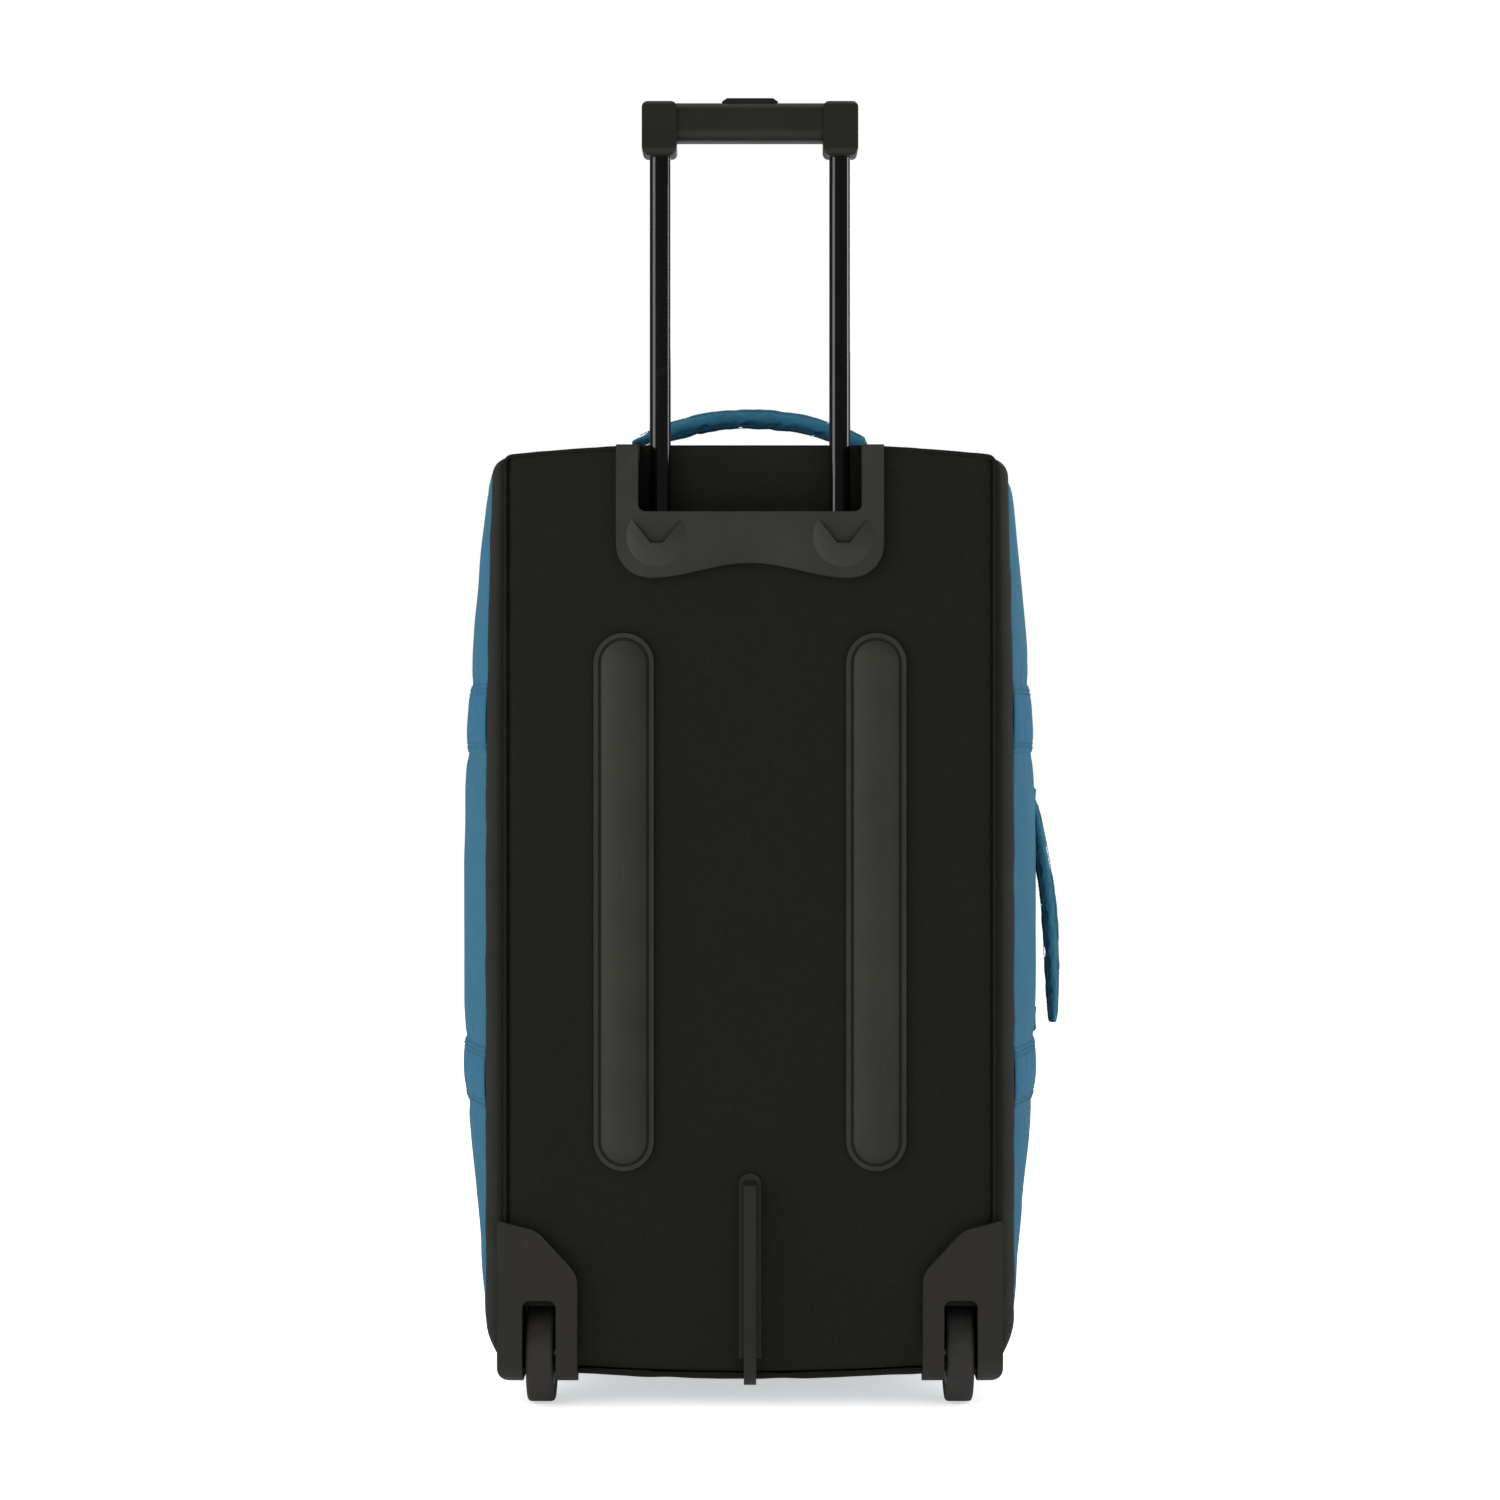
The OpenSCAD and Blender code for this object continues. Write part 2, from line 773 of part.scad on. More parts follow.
module centre_skid() {
    ridge_half = 5;
    ridge_out = 9;
    color("#2d2e29") difference() {
        union() {
            from_x(-skid_w / 2, skid_w / 2) polygon(concat(skid_path(1.8), reversed(skid_path(-12))));
            from_x(-ridge_half, ridge_half) polygon(concat(
                [[y_back, 184]], skid_path(ridge_out),
                [[y_mid - 16, body_low + 12]], reversed(skid_path(-12))));
            rod_y(0, 180, skid_w / 2, y_back - 1.8, y_back + 6);
        }
        body_solid(eps);
        for (z = skid_screw_z) rod_y(0, z, screw_r, y_back - 3, y_back + 10);
    }
}

module frame_screws() {
    y_head = y_board + board_t;
    color("#8f8f8f") screw_places() {
        rod_y(0, 0, screw_r, y_back - 3 + eps, y_head);
        rod_y(0, 0, screw_head_r, y_head, y_head + screw_head_t);
    }
}

module stand_foot() {
    color("#242424") difference() {
        from_y(-foot_d / 2, foot_d / 2) polygon(concat(
            arc(foot_w / 2 - 6, 6, 6, -90, 0), [[foot_w / 2 + 4, 40], [-foot_w / 2 - 4, 40]],
            arc(-foot_w / 2 + 6, 6, 6, 180, 270)));
        body_solid(eps);
    }
}

// Outline of an arched handle with its ends at v = 0, length long, rise high and t thick
function arch_points(length, rise, t, n = 16) = concat(
    [for (i = [0 : n]) let (u = 2 * i / n - 1) [u * length / 2, rise * (1 - u * u)]],
    [for (i = [n : -1 : 0]) let (u = 2 * i / n - 1) [u * (length / 2 - 2), rise * (1 - u * u) - t]]);

// Half outline of a handle seen from above, narrow at its ends so that it can swing
function spindle_points(length, end_half, mid_half, n = 16) = concat(
    [for (i = [0 : n]) let (u = 2 * i / n - 1)
        [u * length / 2, end_half + (mid_half - end_half) * (1 - pow(u, 4))]],
    [for (i = [n : -1 : 0]) let (u = 2 * i / n - 1)
        [u * length / 2, -end_half - (mid_half - end_half) * (1 - pow(u, 4))]]);

// Padded carry handle over the line v = 0, arching up along Z
module carry_handle(length, rise, t) {
    intersection() {
        from_y(-handle_half, handle_half) polygon(arch_points(length, rise, t));
        translate([0, 0, -t]) linear_extrude(rise + t)
            polygon(spindle_points(length, handle_end, handle_half));
    }
}

handle_half = 13;
handle_end = 5;
top_handle_z = body_top + 25;
top_handle_rise = 22;
top_handle_t = 12;

module top_handle() {
    color("#3c7c9a") translate([0, y_mid, top_handle_z])
        carry_handle(top_handle_len, top_handle_rise, top_handle_t);
}

// Sewn patches that hold the ends of the top handle
module top_handle_anchors() {
    top = body_top + 9.8;
    color("#3f7998") both_sides() difference() {
        box(top_handle_len / 2 - 34, top_handle_len / 2 + 8, y_mid - 18, y_mid + 18, body_top, top);
        body_solid(eps);
    }
}

side_handle_mid = 393;
side_handle_out = 14;
side_handle_rise = 8;
side_handle_t = 9;

module side_handle() {
    color("#3c7c9a") translate([bulge_half + side_handle_out, y_mid, side_handle_mid]) rotate([0, 90, 0])
        carry_handle(side_handle_len, side_handle_rise, side_handle_t);
}

module side_handle_anchors() {
    patch_half = 13;
    color("#3f7998") for (s = [-1, 1]) {
        z = side_handle_mid + s * (side_handle_len / 2 - 4);
        box(bulge_half + eps, bulge_half + 1.8, y_mid - patch_half, y_mid + patch_half, z - patch_half,
            z + patch_half);
    }
}

// Padded lid with a gently raised middle
module lid_solid() {
    mid = (lid_low + lid_high) / 2;
    hull() {
        from_y(y_lid, y_lid + lid_t) front_opening(0);
        from_y(y_lid, y_lid + lid_t + lid_crown)
            polygon(round_rect(0, mid, lid_w / 2 - lid_crown_in, lid_h / 2 - lid_crown_in, lid_r - 20));
    }
}

module front_lid() {
    color("#3f768e") difference() {
        lid_solid();
        translate([0, -fabric_t, 0]) lid_solid();
    }
}

module pocket_solid(g) {
    mid = (pocket_low + pocket_high) / 2;
    half_h = (pocket_high - pocket_low) / 2;
    hull() {
        from_y(y_pocket + eps, y_pocket + 5 - g)
            polygon(round_rect(0, mid, pocket_w / 2 - g, half_h - g, 24));
        from_y(y_pocket + eps, y_pocket + pocket_t - g)
            polygon(round_rect(0, mid, pocket_w / 2 - 22 - g, half_h - 26 - g, 16));
    }
}

// Bellows pocket, hollow and closed at its back by the lid
module front_pocket() {
    color("#3f768e") difference() {
        pocket_solid(0);
        translate([0, -eps, 0]) pocket_solid(pocket_skin);
    }
}

module lid_bands() {
    half = lid_w / 2 - lid_crown_in;
    low = upper_band_z - band_w / 2;
    color("#3f7998") box(-half, half, y_pocket + eps, y_pocket + 2, low, low + band_w);
}

// U-shaped zip, open at the bottom where the lid hinges; g0 and g1 are offsets from the lid
module zip_ring(g0, g1, y0, y1) {
    difference() {
        from_y(y0, y1) difference() {
            front_opening(g1);
            front_opening(g0);
        }
        box(-lid_w, lid_w, y0 - 10, y1 + 10, -10, lid_low + lid_r + 10);
    }
}

module zip_track_shell() {
    color("#101010") zip_ring(lid_gap - zip_half_w, lid_gap - eps, y_front - 3, y_front + 1);
}

module zip_track_lid() {
    color("#101010") zip_ring(eps, zip_half_w, y_front - 3, y_front + 1);
}

slider_z = lid_high + lid_gap / 2;
slider_y = y_front + 4.8;
slider_x = 9;

module slider_body(x, z) {
    box(x - slider_w / 2, x + slider_w / 2, slider_y, slider_y + 2.5, z - slider_h / 2, z + slider_h / 2);
    difference() {
        box(x - 2, x + 2, slider_y + 2.5, slider_y + 8, z - 4, z + 4);
        rod_x(slider_y + pull_swing_y, z, 1.3, x - 5, x + 5);
    }
}

// Pull tab with a round eye wire that hangs in the slider's arch
module pull_tab(x, y, z) {
    rod_x(y, z, 1.2, x - 3.5, x + 3.5);
    for (s = [-1, 1]) box(x + s * 3.2 - 0.8, x + s * 3.2 + 0.8, y - 1, y + 1, z - 15, z);
    from_y(y - pull_t / 2, y + pull_t / 2)
        polygon(round_rect(x, z - 10 - pull_len / 2, 4.5, pull_len / 2, 4));
}

module main_slider_right() {
    color("#3b3b3b") slider_body(slider_x, slider_z);
}

module main_slider_left() {
    left_side() main_slider_right();
}

module zip_pull_right() {
    color("#2c2c2c") pull_tab(slider_x, slider_y + pull_swing_y, slider_z);
}

module zip_pull_left() {
    left_side() zip_pull_right();
}

pocket_zip_z = pocket_high + 56;
pocket_slider_x = slider_w - lid_w / 2 + lid_crown_in;
pull_swing_y = 5.2;

module pocket_zip() {
    half = lid_w / 2 - lid_crown_in;
    color("#101010") box(-half, half, y_pocket + eps, y_pocket + 1.5,
                         pocket_zip_z - 7, pocket_zip_z + 7);
}

module pocket_slider() {
    color("#3b3b3b") translate([0, y_pocket + 1.8 - slider_y, 0])
        slider_body(pocket_slider_x, pocket_zip_z);
}

module pocket_pull() {
    color("#2c2c2c") pull_tab(pocket_slider_x, y_pocket + 1.8 + pull_swing_y, pocket_zip_z);
}

back_panel();
rear_gusset();
rear_piping();
main_shell();
upper_band();
lower_band();
lining();
back_board();
base_board();
handle_bezel();
pocket_cup();
outer_tube_left();
outer_tube_right();
guide_bushes();
tube_base();
inner_tube_left();
inner_tube_right();
grip_rear_shell();
grip_front_shell();
grip_screws();
release_button();
push_link();
push_rods();
button_spring();
lock_blocks();
lock_pin_left();
lock_pin_right();
wheel_housing_left();
wheel_housing_right();
tyre_left();
tyre_right();
hub_left();
hub_right();
bearings_left();
bearings_right();
axle_left();
axle_right();
skid_rail_left();
skid_rail_right();
centre_skid();
frame_screws();
stand_foot();
top_handle();
top_handle_anchors();
side_handle();
side_handle_anchors();
front_lid();
front_pocket();
lid_bands();
zip_track_shell();
zip_track_lid();
main_slider_left();
main_slider_right();
zip_pull_left();
zip_pull_right();
pocket_zip();
pocket_slider();
pocket_pull();
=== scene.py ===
"""Looks of a rolling duffel bag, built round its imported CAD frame.

Metres, +Z up; the back with the pull handle faces -Y and the lid faces +Y.
"""

import json
import math

import bpy
import numpy as np
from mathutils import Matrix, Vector


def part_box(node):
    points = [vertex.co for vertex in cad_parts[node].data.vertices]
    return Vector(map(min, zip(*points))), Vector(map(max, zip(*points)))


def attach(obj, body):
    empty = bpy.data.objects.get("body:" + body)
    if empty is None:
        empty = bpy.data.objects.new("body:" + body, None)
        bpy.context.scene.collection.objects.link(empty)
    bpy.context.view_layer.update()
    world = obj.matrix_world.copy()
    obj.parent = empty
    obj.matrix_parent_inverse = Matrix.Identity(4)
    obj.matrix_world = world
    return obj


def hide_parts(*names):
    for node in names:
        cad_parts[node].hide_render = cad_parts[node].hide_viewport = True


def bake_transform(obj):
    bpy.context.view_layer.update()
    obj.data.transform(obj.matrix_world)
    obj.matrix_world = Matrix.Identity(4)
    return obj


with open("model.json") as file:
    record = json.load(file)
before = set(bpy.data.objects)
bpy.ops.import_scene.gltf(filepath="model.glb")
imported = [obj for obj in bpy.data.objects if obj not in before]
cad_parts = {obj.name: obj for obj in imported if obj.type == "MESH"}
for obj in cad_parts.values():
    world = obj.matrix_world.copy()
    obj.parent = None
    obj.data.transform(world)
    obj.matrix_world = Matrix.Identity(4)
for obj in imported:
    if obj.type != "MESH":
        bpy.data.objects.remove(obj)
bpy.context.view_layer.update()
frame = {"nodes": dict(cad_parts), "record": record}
NODES = frame["nodes"]
MM = 0.001
TAU = 2 * math.pi


# ---------------------------------------------------------------- places taken from the frame

BOXES = {name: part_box(name) for name in NODES}


def low(node):
    return BOXES[node][0]


def high(node):
    return BOXES[node][1]


Y_BACK = low("back_panel").y
Y_SEAM = high("rear_gusset").y
Y_FRONT = high("main_shell").y
BACK_HALF = high("back_panel").x
BULGE_HALF = high("main_shell").x
Z_LOW = low("back_panel").z
TOP_CROWN = 10 * MM
Z_HIGH = high("back_panel").z + 5 * MM
BODY_LOW = low("main_shell").z
BODY_HIGH = high("main_shell").z
Z_WAIST = 0.41
UPPER_BAND = (low("upper_band").z, high("upper_band").z + 7 * MM)
LOWER_BAND = (low("lower_band").z, high("lower_band").z)
LID_LOW, LID_HIGH = BOXES["front_lid"]
POCKET_LOW, POCKET_HIGH = BOXES["front_pocket"]


# ---------------------------------------------------------------- finishes

class Finish:
    """A procedural material, with short calls for the nodes used most."""

    def __init__(self, name, rough, specular=0.5, sheen=0.0):
        self.material = bpy.data.materials.new(name)
        self.material.use_nodes = True
        self.tree = self.material.node_tree
        self.shader = self.tree.nodes["Principled BSDF"]
        self.shader.inputs["Roughness"].default_value = rough
        self.shader.inputs["Specular IOR Level"].default_value = specular
        self.shader.inputs["Sheen Weight"].default_value = sheen
        self.shader.inputs["Sheen Roughness"].default_value = 0.5

    def put(self, socket, value):
        if isinstance(value, bpy.types.NodeSocket):
            self.tree.links.new(value, socket)
        else:
            socket.default_value = value

    def node(self, kind, output, inputs=None, **settings):
        """One output of a new node with the given settings and inputs."""
        node = self.tree.nodes.new("ShaderNode" + kind)
        for name, value in settings.items():
            setattr(node, name, value)
        for socket, value in (inputs or {}).items():
            self.put(node.inputs[socket], value)
        return node.outputs[output]

    def place(self):
        """Position on the piece, in metres."""
        return self.node("TexCoord", "Object")

    def cloth(self):
        """Position along the cloth, in metres, as written on the mesh."""
        return self.node("Attribute", "Vector", attribute_name="cloth")

    def scaled(self, vector, scale):
        """The vector, each part times its own scale."""
        return self.node("VectorMath", "Vector", {0: vector, 1: scale}, operation="MULTIPLY")

    def maths(self, kind, a, b=0.0):
        return self.node("Math", 0, {0: a, 1: b}, operation=kind)

    def noise(self, vector, scale=1.0, detail=3.0):
        return self.node("TexNoise", "Fac", {"Vector": vector, "Scale": scale, "Detail": detail})

    def cells(self, vector, scale):
        return self.node("TexVoronoi", "Distance", {"Vector": vector, "Scale": scale})

    def spread(self, value, low, high, to_low, to_high):
        """The value moved from one range to another, and held inside it."""
        return self.node("MapRange", "Result", {"Value": value, "From Min": low, "From Max": high,
                                                "To Min": to_low, "To Max": to_high})

    def mixed(self, factor, a, b):
        return self.node("Mix", 2, {"Factor": factor, 6: a, 7: b}, data_type="RGBA")

    def painted_crevice_shade(self, reach):
        """Painted shade mask: 1 in the open, falling towards 0 in narrow corners and grooves."""
        sky = self.node("AmbientOcclusion", "AO", {"Distance": reach}, samples=8)
        return self.spread(sky, 0.35, 0.85, 0.0, 1.0)

    def bump(self, height, distance, below=None):
        """Surface direction bent by a height, on top of another bump if one is given."""
        inputs = {"Height": height, "Distance": distance}
        if below is not None:
            inputs["Normal"] = below
        return self.node("Bump", "Normal", inputs)

    def done(self, colour, rough=None, normal=None):
        """The finished material."""
        self.put(self.shader.inputs["Base Color"], colour)
        if rough is not None:
            self.put(self.shader.inputs["Roughness"], rough)
        if normal is not None:
            self.put(self.shader.inputs["Normal"], normal)
        return self.material


def linear(red, green, blue):
    """Scene-linear colour from an 8-bit display colour."""
    def one(value):
        value /= 255
        return value / 12.92 if value <= 0.04045 else ((value + 0.055) / 1.055) ** 2.4
    return (one(red), one(green), one(blue), 1.0)


def shade(colour, factor):
    """The colour made darker or lighter."""
    return tuple(min(1.0, part * factor) for part in colour[:3]) + (1.0,)


def woven(name, colour, thread=0.9 * MM, depth=0.10 * MM, uneven=0.16, rough=0.86, sheen=0.02, fold=0.6 * MM):
    """Plain-weave cloth: threads over and under with painted shade in the dips between them, slubs along both
    threads, soft creases and faint wear.
    """
    f = Finish(name, rough, 0.2, sheen)
    cloth = f.cloth()
    u, v = (f.node("SeparateXYZ", axis, {0: cloth}) for axis in "XY")
    turn = math.pi / thread
    across = f.maths("SINE", f.maths("MULTIPLY", u, turn))
    along = f.maths("SINE", f.maths("MULTIPLY", v, turn))
    over = f.maths("MULTIPLY", across, along)
    warp = f.noise(f.scaled(cloth, (40.0, 1300.0, 1.0)), detail=2.0)
    weft = f.noise(f.scaled(cloth, (1300.0, 55.0, 1.0)), detail=2.0)
    slub = f.maths("ADD", warp, weft)
    cloud = f.noise(f.place(), 9.0, 4.0)
    tone = f.maths("ADD", f.maths("MULTIPLY", slub, 0.5), f.maths("MULTIPLY", cloud, 0.35))
    value = f.spread(tone, 0.45, 0.92, 0.0, 1.0)
    base = f.mixed(value, shade(colour, 1 - uneven), shade(colour, 1 + uneven))
    # painted shade: the dips between threads are darkened
    painted_weave_shade = f.spread(over, -1.0, 1.0, 0.0, 1.0)
    base = f.mixed(painted_weave_shade, f.mixed(0.22, base, shade(colour, 0.4)), base)
    weave = f.bump(f.maths("ADD", over, slub), depth)
    crease = f.bump(f.noise(f.place(), 26.0, 4.0), fold, weave)
    return f.done(base, f.spread(cloud, 0.3, 0.7, rough - 0.06, rough + 0.06), crease)


def ribbed(name, colour, rib=1.6 * MM, depth=0.2 * MM, rough=0.8):
    """Webbing and zip tape: fine ribs across the strip, with painted shade in the valleys between ribs and
    painted light on their tops.
    """
    f = Finish(name, rough, 0.35, 0.15)
    cloth = f.cloth()
    u, v = (f.node("SeparateXYZ", axis, {0: cloth}) for axis in "XY")
    ribs = f.maths("SINE", f.maths("MULTIPLY", v, TAU / rib))
    steps = f.maths("SINE", f.maths("MULTIPLY", u, TAU / (rib * 0.6)))
    height = f.maths("ADD", ribs, f.maths("MULTIPLY", steps, 0.4))
    cloud = f.noise(f.place(), 60.0, 3.0)
    # painted light and shade: rib tops lighter, valleys between ribs darker
    base = f.mixed(f.spread(height, -1.2, 1.2, 0.0, 1.0), shade(colour, 0.7), shade(colour, 1.2))
    base = f.mixed(f.spread(cloud, 0.3, 0.7, 0.0, 0.3), base, shade(colour, 0.75))
    return f.done(base, rough, f.bump(height, depth))


def moulded(name, colour, rough, grain=0.035 * MM, scuff=0.25, specular=0.28):
    """Moulded plastic: fine spark-eroded grain, cloudy tone and gloss, pale scuffs, and painted shade
    darkening its corners and grooves.
    """
    f = Finish(name, rough, specular)
    place = f.place()
    speck = f.cells(place, 1500.0)
    cloud = f.noise(place, 22.0, 5.0)
    streak = f.noise(f.scaled(place, (420.0, 420.0, 35.0)), detail=4.0)
    worn = f.spread(streak, 0.62, 0.76, 0.0, scuff)
    base = f.mixed(f.spread(cloud, 0.32, 0.68, 0.0, 1.0), shade(colour, 0.88), shade(colour, 1.12))
    base = f.mixed(worn, base, shade(colour, 2.1))
    # painted shade: the colour darkens to a quarter in corners and grooves
    base = f.mixed(f.painted_crevice_shade(4 * MM), shade(colour, 0.25), base)
    gloss = f.maths("ADD", f.spread(cloud, 0.3, 0.7, rough - 0.05, rough + 0.07),
                    f.maths("MULTIPLY", worn, 0.3))
    soft = f.bump(cloud, 0.25 * MM)
    return f.done(base, gloss, f.bump(speck, grain, soft))


def rubber(name, colour, wear, rough=0.8):
    """Soft tyre and foot rubber: matt, dusty, with rolling scuffs."""
    f = Finish(name, rough, 0.3)
    place = f.place()
    dust = f.noise(place, 140.0, 5.0)
    scratch = f.noise(f.scaled(place, (90.0, 900.0, 900.0)), detail=3.0)
    base = f.mixed(f.spread(dust, 0.4, 0.72, 0.0, wear), colour, shade(colour, 2.4))
    base = f.mixed(f.spread(scratch, 0.58, 0.72, 0.0, wear), base, shade(colour, 1.9))
    return f.done(base, f.spread(dust, 0.3, 0.7, rough - 0.1, rough + 0.08), f.bump(scratch, 0.12 * MM))


def metal(name, colour, rough, brushed=(40.0, 40.0, 900.0), coat=0.0, metallic=1.0, depth=0.02 * MM):
    """Bare or painted metal with a drawn grain and small marks."""
    f = Finish(name, rough, 0.5)
    f.shader.inputs["Metallic"].default_value = metallic
    f.shader.inputs["Coat Weight"].default_value = coat
    f.shader.inputs["Coat Roughness"].default_value = 0.12
    place = f.place()
    grain = f.noise(f.scaled(place, brushed), detail=4.0)
    marks = f.noise(place, 55.0, 5.0)
    base = f.mixed(f.spread(grain, 0.3, 0.7, 0.0, 1.0), shade(colour, 0.86), shade(colour, 1.1))
    gloss = f.maths("ADD", f.spread(grain, 0.3, 0.7, rough - 0.05, rough + 0.08),
                    f.spread(marks, 0.6, 0.75, 0.0, 0.14))
    return f.done(base, gloss, f.bump(grain, depth))


# ---------------------------------------------------------------- mesh helpers

def grid_faces(rows, columns, skip=None, closed=False):
    """Quads of a grid; closed joins the last column to the first. skip(row, column) leaves a quad out."""
    faces = []
    for i in range(rows - 1):
        for j in range(columns if closed else columns - 1):
            if skip is None or not skip(i, j):
                a, b = i * columns + j, i * columns + (j + 1) % columns
                faces.append((a, b, b + columns, a + columns))
    return faces


def ramp(distance, reach):
    """0 at no distance or less, rising evenly to 1 at the reach."""
    return np.clip(distance / reach, 0, 1)


def run_along(path):
    """Distance from the start of a path to each of its points."""
    return np.concatenate([[0], np.cumsum(np.linalg.norm(np.diff(path, axis=0), axis=1))])


def unit(vectors):
    return vectors / np.maximum(np.linalg.norm(vectors, axis=-1, keepdims=True), 1e-12)


def between(a, b, share):
    return a * (1 - share) + b * share


def cloth_lengths(points):
    """Mean distance along both grid directions, in metres, as the cloth coordinates."""
    along = np.linalg.norm(np.diff(points, axis=1), axis=2).mean(axis=0)
    up = np.linalg.norm(np.diff(points, axis=0), axis=2).mean(axis=1)
    u = np.concatenate([[0], np.cumsum(along)])
    v = np.concatenate([[0], np.cumsum(up)])
    uu, vv = np.meshgrid(u, v)
    return np.stack([uu, vv, 0 * uu], axis=-1)


def mesh_piece(name, points, faces, material, cloth):
    """Smooth-shaded mesh from points and faces, without the points that no face uses."""
    points = np.asarray(points, float).reshape(-1, 3)
    used = sorted({i for face in faces for i in face})
    place = {old: new for new, old in enumerate(used)}
    mesh = bpy.data.meshes.new(name)
    mesh.from_pydata(points[used].tolist(), [], [tuple(place[i] for i in face) for face in faces])
    layer = mesh.attributes.new("cloth", "FLOAT_VECTOR", "POINT")
    layer.data.foreach_set("vector", np.asarray(cloth, float).reshape(-1, 3)[used].ravel())
    mesh.polygons.foreach_set("use_smooth", [True] * len(mesh.polygons))
    mesh.materials.append(material)
    mesh.update()
    piece = bpy.data.objects.new(name, mesh)
    bpy.context.scene.collection.objects.link(piece)
    return piece


def sheet(name, points, material, skip=None, closed=False, capped=False):
    """Cloth from a grid; a closed one repeats its first column as its last, and both become one.

    A capped one, of an even number of columns, also gets a strip of faces across its first row.
    """
    cloth = cloth_lengths(points)
    if closed:
        cloth[..., 0] = np.abs(cloth[..., 0] - cloth[0, -1, 0] / 2)
        points, cloth = points[:, :-1], cloth[:, :-1]
    rows, columns = points.shape[:2]
    faces = grid_faces(rows, columns, skip, closed)
    if capped:
        faces += [(j + 1, j, columns - 1 - j, columns - 2 - j) for j in range(columns // 2 - 1)]
    return mesh_piece(name, points, faces, material, cloth)


def smooth_out(piece):
    """Rounds a piece by one level of subdivision."""
    smooth = piece.modifiers.new("smooth", "SUBSURF")
    smooth.levels = smooth.render_levels = 1
    return piece


def thicken(piece, thickness):
    """Gives a sheet its thickness, inwards, and rounds it."""
    solid = piece.modifiers.new("thickness", "SOLIDIFY")
    solid.thickness = thickness
    solid.offset = -1
    return smooth_out(piece)


def mount(piece, body, node=None):
    """Puts a piece on its body, in place of a CAD node if one is given."""
    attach(piece, body)
    if node:
        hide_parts(node)


def apply_all(piece):
    """Makes the piece's modifiers part of its mesh."""
    graph = bpy.context.evaluated_depsgraph_get()
    graph.update()
    mesh = bpy.data.meshes.new_from_object(piece.evaluated_get(graph), preserve_all_data_layers=True,
                                           depsgraph=graph)
    piece.modifiers.clear()
    piece.data = mesh
    return piece


def get_points(mesh):
    points = np.zeros(len(mesh.vertices) * 3)
    mesh.vertices.foreach_get("co", points)
    return points.reshape(-1, 3)


def inflate(piece, pinned, pressure, slack, cap, frames=20):
    """Cloth simulation: the pinned points hold, the rest swells out and wrinkles, by cap at the most."""
    rest = get_points(piece.data)
    group = piece.vertex_groups.new(name="pin")
    group.add([int(i) for i in np.flatnonzero(np.asarray(pinned).ravel())], 1.0, "REPLACE")
    cloth = piece.modifiers.new("cloth", "CLOTH")
    settings = cloth.settings
    settings.vertex_group_mass = "pin"
    settings.quality = 5
    settings.mass = 0.25
    settings.tension_stiffness = settings.compression_stiffness = 12.0
    settings.shear_stiffness = 4.0
    settings.bending_stiffness = 0.3
    settings.air_damping = 2.0
    settings.shrink_min = -slack
    settings.use_pressure = True
    settings.uniform_pressure_force = pressure
    settings.effector_weights.gravity = 0
    cloth.collision_settings.use_collision = False
    cloth.point_cache.frame_start = 1
    cloth.point_cache.frame_end = frames
    scene = bpy.context.scene
    for step in range(1, frames + 1):
        scene.frame_set(step)
    graph = bpy.context.evaluated_depsgraph_get()
    found = get_points(piece.evaluated_get(graph).to_mesh())
    piece.evaluated_get(graph).to_mesh_clear()
    piece.modifiers.remove(cloth)
    scene.frame_set(1)
    move = found - rest
    length = np.linalg.norm(move, axis=1, keepdims=True)
    move *= cap * np.tanh(length / cap) / np.maximum(length, 1e-9)
    piece.data.vertices.foreach_set("co", (rest + move).ravel())
    piece.data.update()


def ripples(along, wave, seed):
    """Smooth irregular waves of about the given length, from -1 to 1."""
    total = 0
    for k, share in enumerate((0.5, 0.3, 0.2)):
        total = total + share * np.sin(TAU * along / wave * (1 + 0.618 * k) + seed * 1.7 + 2.1 * k)
    return total


def near(distance, reach):
    """1 on a seam, falling smoothly to 0 past the reach."""
    return np.exp(-(np.abs(distance) / reach) ** 1.5)


def grid_normals(points):
    return unit(np.cross(np.gradient(points, axis=1), np.gradient(points, axis=0)))


def rod(points, run, girth):
    """Closed rod from its rings of points, as (points, faces, cloth coordinates)."""
    count, sides = points.shape[:2]
    faces = grid_faces(count, sides, closed=True)
    faces.append(tuple(range(sides))[::-1])
    faces.append(tuple(range((count - 1) * sides, count * sides)))
    cloth = np.zeros(points.shape)
    cloth[..., 0] = run[:, None]
    cloth[..., 1] = girth[None, :]
    return points, faces, cloth


def tube(path, radius, sides, up=(0, 0, 1)):
    """Round cord along a path; radius may be one number or one for each point."""
    radius = np.broadcast_to(np.asarray(radius, float), (len(path),))
    tangent = unit(np.gradient(path, axis=0))
    side = unit(np.cross(tangent, np.asarray(up, float)))
    top = np.cross(side, tangent)
    angle = np.linspace(0, TAU, sides, endpoint=False)
    ring = np.cos(angle)[None, :, None] * side[:, None] + np.sin(angle)[None, :, None] * top[:, None]
    return rod(path[:, None] + ring * radius[:, None, None], run_along(path), angle * radius.mean())


def joined(name, parts, material):
    """One piece from several (points, faces, cloth) parts."""
    points, faces, cloth, start = [], [], [], 0
    for part_points, part_faces, part_cloth in parts:
        part_points = np.asarray(part_points).reshape(-1, 3)
        points.append(part_points)
        cloth.append(np.asarray(part_cloth).reshape(-1, 3))
        faces += [tuple(i + start for i in face) for face in part_faces]
        start += len(part_points)
    return mesh_piece(name, np.concatenate(points), faces, material, np.concatenate(cloth))


def resampled(path, step):
    """The same path with points a step apart."""
    path = np.asarray(path, float)
    run = run_along(path)
    places = np.linspace(0, run[-1], max(3, int(run[-1] / step) + 1))
    return np.stack([np.interp(places, run, path[:, k]) for k in range(3)], axis=1)


STITCH = 3.4 * MM
STITCH_ROWS = (5.5 * MM, 9 * MM)


